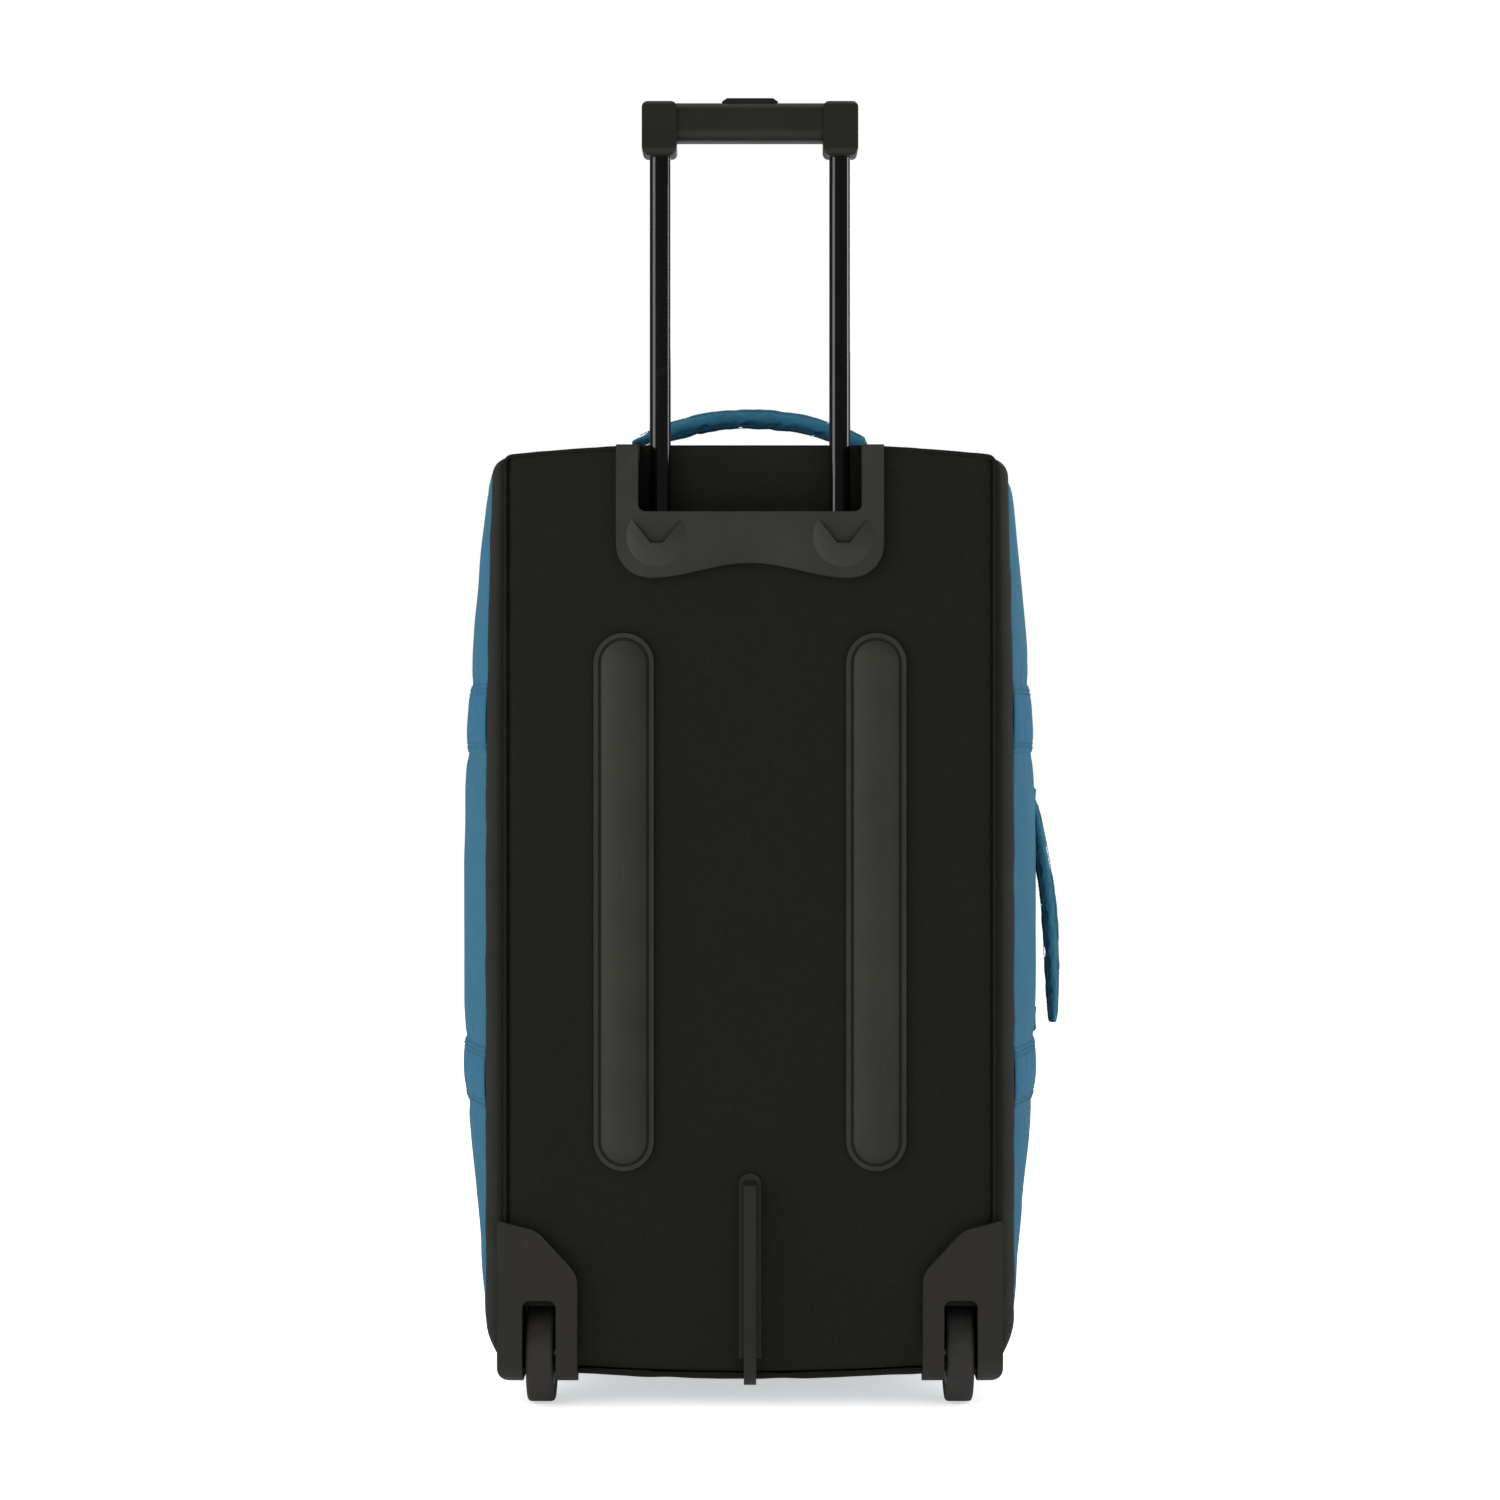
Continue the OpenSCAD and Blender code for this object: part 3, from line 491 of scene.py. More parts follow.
def stitches(path, thread=0.42 * MM):
    """A row of stitches: a thread that dips into the cloth between one stitch and the next."""
    path = resampled(path, STITCH / 6)
    beat = np.abs(np.sin(math.pi * run_along(path) / STITCH)) ** 0.6
    return tube(path, thread * (0.3 + 0.7 * beat), 6)


# ---------------------------------------------------------------- the body's outline

BOTTOM_POINTS = 30
CUP_POINTS = 14
CUP_SIDE = high("pocket_cup").x + 1.5 * MM
CUP_FRONT = high("pocket_cup").y + 1 * MM
CORNER_POINTS = 9
SIDE_COUNTS = (22, 8, 34, 8, 22)


def side_levels(z_low, z_high):
    """Heights up a side, with points exactly on the edges of both bands."""
    keys = (z_low,) + LOWER_BAND + UPPER_BAND + (z_high,)
    levels = [np.linspace(a, b, n, endpoint=False) for a, b, n in zip(keys, keys[1:], SIDE_COUNTS)]
    return np.concatenate(levels + [[z_high]])


BOTTOM_HALF = low("wheel_housing_right").x - 2 * MM
BOTTOM_SAG = 4.5 * MM


def droop(x, z):
    """How far the cloth sags between the wheels, fading upwards."""
    return BOTTOM_SAG * np.clip(1 - (x / BOTTOM_HALF) ** 2, 0, 1) * (1 - ramp(z - Z_LOW, 60 * MM))


def outline(half, top_half, bottom_half, z_low, z_high, corner, crown=0.0, fall=2.2, hip=0.0,
            ease=1.0, foot=None):
    """One turn in x and z: from the middle of the bottom up the -X side, over the top and back.

    The half width is given at the waist, the top and the bottom; corner and foot are the radii of the
    upper and lower corners; crown is how far the top falls to its sides. Below the waist the side stays
    straight for the share hip, then draws in by the power fall, eased towards the bottom by ease.
    """
    foot = foot or corner

    def width(z):
        above = (half - top_half) * ramp(z - Z_WAIST, z_high - Z_WAIST) ** 2.2
        down = np.clip(((Z_WAIST - z) / (Z_WAIST - z_low) - hip) / (1 - hip), 0, 1) ** fall
        return half - above - (half - bottom_half) * (1 - (1 - down) ** ease)

    turn = np.linspace(0, math.pi / 2, CORNER_POINTS, endpoint=False)
    z_corner_low = z_low + foot - foot * np.cos(turn)
    x_corner_low = width(z_corner_low) - foot + foot * np.sin(turn)
    z_side = side_levels(z_low + foot, z_high - corner)
    z_corner_high = z_high - corner + corner * np.sin(turn[1:])
    x_corner_high = width(z_corner_high) - corner + corner * np.cos(turn[1:])
    x_flat_low = np.linspace(0, width(z_low) - foot, BOTTOM_POINTS, endpoint=False)
    x_flat_high = np.concatenate([
        np.linspace(width(z_high) - corner, CUP_SIDE, BOTTOM_POINTS - CUP_POINTS, endpoint=False),
        np.linspace(CUP_SIDE, 0, CUP_POINTS + 1)])
    x = np.concatenate([x_flat_low, x_corner_low, width(z_side), x_corner_high, x_flat_high])
    z = np.concatenate([np.full(len(x_flat_low), z_low), z_corner_low, z_side, z_corner_high,
                        np.full(len(x_flat_high), z_high)])
    drop = crown * ramp(np.abs(x), top_half) ** 2
    z = z - np.where(z > Z_WAIST, drop * (z - Z_WAIST) / (z_high - Z_WAIST), 0)
    if crown:
        z = z - droop(x, z)
    half_turn = np.stack([-x, z], axis=1)
    other = half_turn[:-1][::-1] * (-1, 1)
    return np.concatenate([half_turn, other])


def turn_about(points2d, y):
    return np.stack([points2d[:, 0], np.full(len(points2d), y), points2d[:, 1]], axis=1)


Y_MID = (low("top_handle").y + high("top_handle").y) / 2


def body_ring(y):
    """The body's outline at depth y, through the seam, the widest place and the front edge."""
    keys = (Y_SEAM - 6 * MM, Y_MID, Y_FRONT)
    values = {
        "half": (BACK_HALF + 17 * MM, BULGE_HALF - 0.5 * MM, BULGE_HALF - 27 * MM),
        "top_half": (BACK_HALF + 13 * MM, BULGE_HALF - 28 * MM, BULGE_HALF - 42 * MM),
        "bottom_half": (BACK_HALF + 20 * MM, BULGE_HALF - 38 * MM, BULGE_HALF - 44 * MM),
        "z_low": (Z_LOW - 9 * MM, BODY_LOW, Z_LOW - 4 * MM),
        "z_high": (Z_HIGH - 1 * MM, BODY_HIGH + 2 * MM, Z_HIGH - 7 * MM),
        "corner": (9 * MM, 40 * MM, 54 * MM),
        "foot": (45 * MM, 44 * MM, 54 * MM),
        "fall": (3.6, 1.3, 1.3),
        "hip": (0.0, 0.42, 0.42),
        "ease": (1.0, 1.7, 1.7),
    }
    at = {name: np.polyval(np.polyfit(keys, three, 2), y) for name, three in values.items()}
    at["fall"] = max(at["fall"], 1.1)
    return outline(**at, crown=TOP_CROWN)


RING = len(body_ring(0.0))
SIDE_START = BOTTOM_POINTS + CORNER_POINTS
BAND_COLUMNS = {
    "lower": (SIDE_START + SIDE_COUNTS[0], SIDE_START + sum(SIDE_COUNTS[:2])),
    "upper": (SIDE_START + sum(SIDE_COUNTS[:3]), SIDE_START + sum(SIDE_COUNTS[:4])),
}


def inset(ring, distance):
    """The ring drawn in by a distance, seen in x and z."""
    tangent = np.roll(ring[:-1], -1, axis=0) - np.roll(ring[:-1], 1, axis=0)
    tangent = unit(np.vstack([tangent, tangent[:1]]))
    inward = np.stack([tangent[:, 1], -tangent[:, 0]], axis=1)
    return ring + inward * distance


def in_wheel_well(x, y, z):
    """True where the body is cut away for a wheel and its housing."""
    wheel_low, wheel_high = BOXES["tyre_right"]
    side = 6 * MM
    beside = (wheel_low.x - side < np.abs(x)) & (np.abs(x) < wheel_high.x + side)
    return beside & (y < high("wheel_housing_right").y) & (z < wheel_high.z)


def skip_openings(points):
    """Grid test for the quads that lie in the wheel wells or over the mouth of the pocket cup."""
    centres = (points[:-1, :-1] + points[1:, 1:]) / 2
    x, y, z = centres[..., 0], centres[..., 1], centres[..., 2]
    mouth = (np.abs(x) < CUP_SIDE) & (y < CUP_FRONT) & (z > low("pocket_cup").z)
    flags = in_wheel_well(x, y, z) | mouth
    return lambda i, j: bool(flags[i, j])


def from_cup(points):
    """Distance from the pocket cup, seen from above."""
    beside = np.maximum(np.abs(points[..., 0]) - CUP_SIDE, 0)
    return np.hypot(beside, np.maximum(points[..., 1] - CUP_FRONT, 0))


def settle_at_cup(points):
    """Draws the top of the cloth down to the rim of the pocket cup."""
    rim = high("pocket_cup").z + 0.4 * MM
    pull = np.exp(-(from_cup(points) / (20 * MM)) ** 2) * (points[..., 2] > Z_WAIST)
    settled = points.copy()
    settled[..., 2] = between(points[..., 2], np.minimum(points[..., 2], rim), pull)
    return settled


# ---------------------------------------------------------------- back panel, piping and gusset

EDGE_STEPS = np.array([0, 0.8, 1.8, 3.0, 4.6, 6.8, 9.6, 13.0]) * MM


def edge_spaced(start, end, step):
    """Places from start to end, closer together at both ends."""
    inner = np.linspace(start + EDGE_STEPS[-1] + step, end - EDGE_STEPS[-1] - step,
                        int((end - start) / step) - 4)
    return np.concatenate([start + EDGE_STEPS, inner, end - EDGE_STEPS[::-1]])


def corner_cut(z, z_low, z_high, radius):
    """How far a side of a rounded rectangle stands in at height z."""
    over = np.maximum(np.maximum(z_low + radius - z, z - z_high + radius), 0)
    return radius - np.sqrt(np.maximum(radius ** 2 - over ** 2, 0))


TOP_CORNER = 4 * MM


def make_back_panel(material):
    """Woven back, rolled in along its edges, with holes for the pocket cup and the wheels."""
    z = edge_spaced(Z_LOW, Z_HIGH - 1 * MM, 6 * MM)
    flat = edge_spaced(-1.0 * BACK_HALF, BACK_HALF, 6 * MM)
    half = BACK_HALF - np.where(z > Z_WAIST, corner_cut(z, Z_LOW, Z_HIGH, TOP_CORNER),
                                corner_cut(z, Z_LOW, Z_HIGH, 10 * MM))
    x = flat[None, :] * (half / BACK_HALF)[:, None]
    zz = np.repeat(z[:, None], len(flat), axis=1)
    zz = zz - TOP_CROWN * (x / BACK_HALF) ** 2 * ramp(zz - Z_WAIST, Z_HIGH - Z_WAIST)
    side = half[:, None] - np.abs(x)
    end = np.minimum(zz - Z_LOW, Z_HIGH - zz)
    roll = 8 * MM * np.exp(-((zz - Z_LOW) / (9 * MM)) ** 1.5) * (np.abs(x) < BOTTOM_HALF)
    edge = np.minimum(side, end)
    wave = 0.5 + 0.5 * ripples(x + 0.4 * zz, 0.16, 1) * ripples(zz - 0.3 * x, 0.21, 4)
    pucker = ripples(zz, 15 * MM, 2) * near(side, 9 * MM) + ripples(x, 15 * MM, 3) * near(end, 9 * MM)
    depth = 3.4 * MM * near(edge, 3 * MM) + 0.9 * MM * wave + 0.35 * MM * pucker * (edge > 2 * MM)
    points = np.stack([x, Y_BACK + 0.2 * MM + np.maximum(depth, roll), zz - droop(x, zz)], axis=-1)
    cup_low, cup_high = BOXES["pocket_cup"]

    def skip(i, j):
        cx = abs(x[i, j] + x[i + 1, j + 1]) / 2
        cz = (zz[i, j] + zz[i + 1, j + 1]) / 2
        return (cx < cup_high.x + 2 * MM and cz > cup_low.z - 1 * MM) or in_wheel_well(cx, Y_BACK, cz)

    panel = thicken(sheet("back_panel_cloth", points, material, skip), 1.4 * MM)
    mount(panel, "bag", "back_panel")


def make_piping(material):
    """Corded edge between the back panel and the gusset, from the wheel housings up to the pocket cup."""
    half = BACK_HALF + 1.4 * MM
    ring = outline(half, half, half, Z_LOW - 1.4 * MM, Z_HIGH + 0.8 * MM, TOP_CORNER + 1 * MM, TOP_CROWN)
    path = turn_about(ring, Y_BACK + 1.6 * MM)
    x, z = path[:, 0], path[:, 2]
    under = (np.abs(x) < BOTTOM_HALF) & (z < Z_WAIST)
    over = (np.abs(x) < CUP_SIDE + 4 * MM) & (z > Z_WAIST)
    sides = []
    for sign in (-1, 1):
        line = resampled(path[~under & ~over & (x * sign > 0)], 2.5 * MM)
        run = np.arange(len(line)) * 2.5 * MM
        sides.append(tube(line, 1.7 * MM + 0.12 * MM * ripples(run, 30 * MM, 5), 10, up=(0, 1, 0)))
    mount(smooth_out(joined("rear_piping_cord", sides, material)), "bag", "rear_piping")


def make_gusset(material):
    """Strip that joins the back's edge to the wider seam of the shell."""
    back = outline(BACK_HALF, BACK_HALF, BACK_HALF, Z_LOW, Z_HIGH - 1 * MM, TOP_CORNER, TOP_CROWN)
    seam = body_ring(Y_SEAM)
    profile = ((2.2, 0.10), (0.9, 0.16), (0.5, 0.24), (0.7, 0.33), (1.8, 0.42), (4.6, 0.53), (9.0, 0.66),
               (15.0, 0.80), (21.0, 0.91), (26.0, 0.98), (28.6, 1.0), (30.2, 0.99))
    rows = [turn_about(between(back, seam, share), Y_BACK + depth * MM) for depth, share in profile]
    rows.append(turn_about(inset(seam, 2.4 * MM), Y_SEAM + 1.4 * MM))
    points = np.array(rows)
    run = cloth_lengths(points)[..., 0]
    side = near(points[..., 1] - Y_SEAM, 8 * MM) + near(points[..., 1] - Y_BACK, 5 * MM)
    lift = ripples(run, 17 * MM, 6) * side * 0.35 * MM + ripples(run, 70 * MM, 7) * 0.5 * MM
    points = points + grid_normals(points) * lift[..., None]
    points[:, -1] = points[:, 0]
    points = settle_at_cup(points)
    tucked = (np.abs(points[..., 0]) < BOTTOM_HALF) & (points[..., 2] < Z_LOW + 20 * MM)
    behind = Y_BACK + 7 * MM + 0.1 * (points[..., 1] - Y_BACK)
    points[..., 1] = np.where(tucked, np.maximum(points[..., 1], behind), points[..., 1])
    gusset = sheet("rear_gusset_cloth", points, material, skip_openings(points), closed=True)
    mount(thicken(gusset, 1.2 * MM), "bag", "rear_gusset")


# ---------------------------------------------------------------- main shell and its bands

FRONT_ROUND = 17 * MM
OPENING_GAP = 6 * MM
LID_CORNER = 56 * MM


def opening_ring(gap):
    """Outline of the lid opening, the lid grown by the gap."""
    half = LID_HIGH.x + gap
    return outline(half, half, half, LID_LOW.z - gap, LID_HIGH.z + gap, LID_CORNER + gap)


def shell_grid():
    """Points of the shell, from the gusset seam round the front edge to the lid opening."""
    rows = [turn_about(inset(body_ring(Y_SEAM), 2.6 * MM), Y_SEAM + 0.8 * MM),
            turn_about(inset(body_ring(Y_SEAM), 0.8 * MM), Y_SEAM + 1.6 * MM)]
    depths = np.linspace(Y_SEAM + 4 * MM, Y_FRONT - FRONT_ROUND, 35)
    depths[np.argmin(np.abs(depths - CUP_FRONT))] = CUP_FRONT
    for y in depths:
        rows.append(turn_about(body_ring(y), y))
    for angle in np.linspace(0, math.pi / 2, 6)[1:]:
        y = Y_FRONT - FRONT_ROUND + FRONT_ROUND * math.sin(angle)
        rows.append(turn_about(inset(body_ring(y), FRONT_ROUND * (1 - math.cos(angle))), y))
    rim = inset(body_ring(Y_FRONT), FRONT_ROUND)
    edge = opening_ring(OPENING_GAP)
    rows += [turn_about(between(rim, edge, t), Y_FRONT) for t in (0.35, 0.7, 0.94)]
    rows.append(turn_about(edge, Y_FRONT - 0.8 * MM))
    rows.append(turn_about(edge, Y_FRONT - 3.2 * MM))
    return settle_at_cup(np.array(rows))


def band_places():
    """First and last column of every band, on both sides of the body."""
    for name, (first, last) in BAND_COLUMNS.items():
        yield name, first, last
        yield name, RING - 1 - last, RING - 1 - first


def make_shell(material):
    """Main blue shell, puckered at its seams; returns its points."""
    points = shell_grid()
    rows, columns = points.shape[:2]
    lengths = cloth_lengths(points)
    run, depth = lengths[..., 0], lengths[..., 1]
    normals = grid_normals(points)
    seam_edge = depth[1, 0]
    pinned = np.zeros((rows, columns), bool)
    pinned[:2] = pinned[-4:] = True
    pinned[:, 0] = pinned[:, -1] = True
    band_edge = np.full((rows, columns), 1.0)
    for _, first, last in band_places():
        pinned[:, first] = pinned[:, last] = True
        distance = np.minimum(np.abs(run - run[:, [first]]), np.abs(run - run[:, [last]]))
        band_edge = np.minimum(band_edge, distance)
    from_seam = depth - seam_edge
    pucker = ripples(run, 19 * MM, 1) * near(from_seam, 13 * MM) * 1.0 * MM
    pucker += ripples(depth, 23 * MM, 2) * near(band_edge, 12 * MM) * 0.9 * MM
    groove = -0.8 * MM * near(band_edge, 4 * MM)
    folds = ripples(run + 0.35 * depth, 0.11, 3) * ripples(depth - 0.2 * run, 0.17, 5) * 1.1 * MM
    fade = ramp(from_seam, 6 * MM) * ramp(depth[-4, 0] - depth, 12 * MM)
    points = points + normals * ((pucker + groove + folds) * fade)[..., None]
    points[:, -1] = points[:, 0]
    skip = skip_openings(points)
    pinned |= (from_cup(points) < 1 * MM) & (points[..., 2] > Z_WAIST)
    shell = sheet("main_shell_cloth", points, material)
    inflate(shell, pinned, 2.2, slack=0.015, cap=2.2 * MM)
    points = get_points(shell.data).reshape(rows, columns, 3)
    bpy.data.objects.remove(shell)
    shell = thicken(sheet("main_shell_cloth", points, material, skip, closed=True), 1.5 * MM)
    mount(shell, "bag", "main_shell")
    return points


def refine(points, times):
    """The same grid with more columns, by linear steps."""
    columns = points.shape[1]
    places = np.linspace(0, columns - 1, (columns - 1) * times + 1)
    low_index = np.minimum(places.astype(int), columns - 2)
    part = (places - low_index)[None, :, None]
    return points[:, low_index] * (1 - part) + points[:, low_index + 1] * part


def column_at(grid, share):
    """The line of points at a share of a grid's width."""
    place = share * (grid.shape[1] - 1)
    k = int(place)
    return between(grid[:, k], grid[:, k + 1], place - k)


BAND_RISE = 2.2 * MM


def make_bands(shell, material, thread):
    """Sewn-on bands that follow the shell's sides, with two rows of stitches along each edge."""
    for name in BAND_COLUMNS:
        pieces, rows_of_stitches = [], []
        for band, first, last in band_places():
            if band != name:
                continue
            strip = refine(shell[1:-2, first:last + 1], 3)
            across = np.linspace(0, 1, strip.shape[1])
            smooth = between(strip[:, :1], strip[:, -1:], across[None, :, None])
            strip = between(strip, smooth, 0.55)
            normal = grid_normals(strip)
            edge = np.minimum(across, 1 - across)
            width = np.linalg.norm(strip[0, 0] - strip[0, -1])
            rise = BAND_RISE * ramp(edge * width, 2.5 * MM) ** 0.5
            rise += 0.7 * MM * np.sin(math.pi * across)
            line = near(edge * width - STITCH_ROWS[1], 2 * MM) + near(edge * width - STITCH_ROWS[0], 1.6 * MM)
            run = cloth_lengths(strip)[..., 1]
            slack = ripples(run + 30 * across[None, :] * MM, 26 * MM, first) * 0.35 * MM
            offset = rise[None, :] - 0.75 * MM * line[None, :] + slack * (edge > 0.05)[None, :] - 0.4 * MM
            strip = strip + normal * offset[..., None]
            pieces.append((strip, grid_faces(*strip.shape[:2]), cloth_lengths(strip)))
            for inside in STITCH_ROWS:
                for share in (inside / width, 1 - inside / width):
                    path = column_at(strip, share) + column_at(normal, share) * 0.25 * MM
                    rows_of_stitches.append(stitches(path))
        piece = thicken(joined(f"{name}_band_cloth", pieces, material), 1.2 * MM)
        mount(piece, "bag", f"{name}_band")
        mount(joined(f"{name}_band_stitches", rows_of_stitches, thread), "bag")


# ---------------------------------------------------------------- carry handles

WIDE = np.array([0.0, 1.0, 0.0])
STRAP_SIDES = 28


def strap_up(path):
    """Direction square to a strap, at each point of its path."""
    return np.cross(unit(np.gradient(path, axis=0)), WIDE)


def padded_strap(path, width, thickness, wave, seed):
    """Closed padded strap along a path, its width along Y; width and thickness are given for each point."""
    up = strap_up(path)
    angle = np.linspace(0, TAU, STRAP_SIDES, endpoint=False)
    c, s = np.cos(angle), np.sin(angle)
    across = np.sign(c) * np.abs(c) ** 0.7
    height = np.sign(s) * np.abs(s) ** 0.8
    run = run_along(path)
    under = np.clip(-height, 0, 1)[None, :]
    crinkle = ripples(run[:, None] + 6 * MM * across[None, :], wave, seed) * under
    crease = ripples(run[:, None] - 9 * MM * across[None, :], wave * 0.6, seed + 3)
    pinch = 1 - 0.16 * near(np.abs(across) - 0.8, 0.12)[None, :]
    tall = (height[None, :] * pinch + 0.11 * crinkle + 0.035 * crease) * thickness[:, None] / 2
    points = path[:, None] + WIDE * (across[None, :] * width[:, None] / 2)[..., None]
    return rod(points + up[:, None] * tall[..., None], run, angle * width.mean() / 2)


def ends(run, start, stop, reach):
    """0 at both ends of a run, 1 past the reach."""
    return ramp(run - start, reach) ** 0.5 * ramp(stop - run, reach) ** 0.5


def make_handle(node, body, path, width, thickness, material, thread, seed):
    """Padded carry handle held at both edges while it swells, with two rows of stitches on either face."""
    name = node + "_padded"
    piece = joined(name, [padded_strap(path, width, thickness, 21 * MM, seed)], material)
    edges = np.arange(len(piece.data.vertices)) % (STRAP_SIDES // 2) == 0
    inflate(piece, edges, 3.0, slack=0.03, cap=1.6 * MM, frames=12)
    up = strap_up(path)
    rows = []
    for side in (-1, 1):
        for level in (-1, 1):
            line = path + side * WIDE * (width[:, None] / 2 * 0.74) + up * level * thickness[:, None] * 0.44
            rows.append(stitches(line[3:-3]))
    mount(smooth_out(piece), body, node)
    mount(joined(name + "_stitches", rows, thread), body)


def make_top_handle(material, thread):
    node_low, node_high = BOXES["top_handle"]
    x = np.linspace(node_low.x + 1 * MM, node_high.x - 1 * MM, 74)
    reach = np.abs(x) / node_high.x
    top = node_high.z - (node_high.z - node_low.z - 8 * MM) * reach ** 2.2
    thickness = 4.5 * MM + 10 * MM * ramp(x - node_low.x, 34 * MM) ** 0.7
    thickness *= np.clip((node_high.x + 3 * MM - x) / (7 * MM), 0.55, 1)
    width = 22 * MM + 6 * MM * ends(x, node_low.x, node_high.x, 30 * MM)
    path = np.stack([x, np.full(len(x), Y_MID), top - thickness / 2], axis=1)
    make_handle("top_handle", "top_carry", path, width, thickness, material, thread, 2)


def make_side_handle(material, thread):
    node_low, node_high = BOXES["side_handle"]
    z = np.linspace(node_low.z, node_high.z, 74)
    share = (node_high.z - z) / (node_high.z - node_low.z)
    outer = BULGE_HALF + 1.5 * MM + 20 * MM * (1 - (1 - share / 0.76) ** 2)
    thickness = 4 * MM + 8 * MM * ends(z, node_low.z - 3 * MM, node_high.z, 60 * MM)
    width = 20 * MM + 7 * MM * ends(z, node_low.z - 3 * MM, node_high.z, 30 * MM)
    path = np.stack([outer - thickness / 2, np.full(len(z), Y_MID), z], axis=1)
    make_handle("side_handle", "side_carry", path[::-1], width[::-1], thickness[::-1], material, thread, 6)


def sewn_patch(centre, across, along, outward, half_width, half_length, thickness):
    """Folded fabric patch with a sewn box and cross; returns its parts and its rows of stitches."""
    centre, across, along, outward = (np.asarray(v, float) for v in (centre, across, along, outward))
    u = np.linspace(-1, 1, 15)
    uu, vv = np.meshgrid(u, u)
    edge = 1 - np.maximum(np.abs(uu), np.abs(vv))
    height = thickness * ramp(edge, 0.12) ** 0.5 - 0.35 * MM * near(edge - 0.25, 0.08)
    points = (centre + uu[..., None] * across * half_width + vv[..., None] * along * half_length
              + outward * height[..., None])
    lines = []
    corners = 0.75 * np.array([(-1, -1), (1, -1), (1, 1), (-1, 1), (-1, -1), (1, 1), (1, -1), (-1, 1)])
    for a, b in zip(corners, corners[1:]):
        spot = between(a, b, np.linspace(0, 1, 12)[:, None])
        lines.append(stitches(centre + spot[:, :1] * across * half_width + spot[:, 1:] * along * half_length
                              + outward * (thickness + 0.1 * MM), 0.35 * MM))
    return (points, grid_faces(len(u), len(u)), cloth_lengths(points)), lines


def make_anchors(material, thread):
    """Sewn patches under the ends of both carry handles."""
    for node in ("top_handle_anchors", "side_handle_anchors"):
        node_low, node_high = BOXES[node]
        parts, lines = [], []
        for sign in (-1, 1):
            if node.startswith("top"):
                centre = (sign * (node_high.x - 19 * MM), Y_MID, node_high.z - 1.5 * MM)
                part, rows = sewn_patch(centre, (sign, 0, 0), (0, sign, 0), (0, 0, 1), 19 * MM, 16 * MM,
                                        3 * MM)
            else:
                centre = (BULGE_HALF - 1.5 * MM, Y_MID,
                          between(node_low.z, node_high.z, (1 + sign) / 2) - sign * 13 * MM)
                part, rows = sewn_patch(centre, (0, 1, 0), (0, 0, 1), (1, 0, 0), 13 * MM, 12 * MM, 3 * MM)
            parts.append(part)
            lines += rows
        mount(thicken(joined(node + "_cloth", parts, material), 2.5 * MM), "bag", node)
        mount(joined(node + "_stitches", lines, thread), "bag")


# ---------------------------------------------------------------- lid, pocket and zips

def panel_grid(x_half, z_low, z_high, corner, step, extra_levels=()):
    """Grid in x and z over a rounded rectangle, with each point's distance from the border."""
    z = edge_spaced(z_low, z_high, step)
    for level in extra_levels:
        z[np.argmin(np.abs(z - level))] = level
    flat = edge_spaced(-x_half, x_half, step)
    half = x_half - corner_cut(z, z_low, z_high, corner)
    x = flat[None, :] * (half / x_half)[:, None]
    zz = np.repeat(z[:, None], len(flat), axis=1)
    dx = np.maximum(np.abs(x) - x_half + corner, 0)
    dz = np.maximum(np.maximum(z_low + corner - zz, zz - z_high + corner), 0)
    edge = np.where((dx > 0) & (dz > 0), corner - np.hypot(dx, dz),
                    np.minimum(x_half - np.abs(x), np.minimum(zz - z_low, z_high - zz)))
    return x, zz, np.maximum(edge, 0)


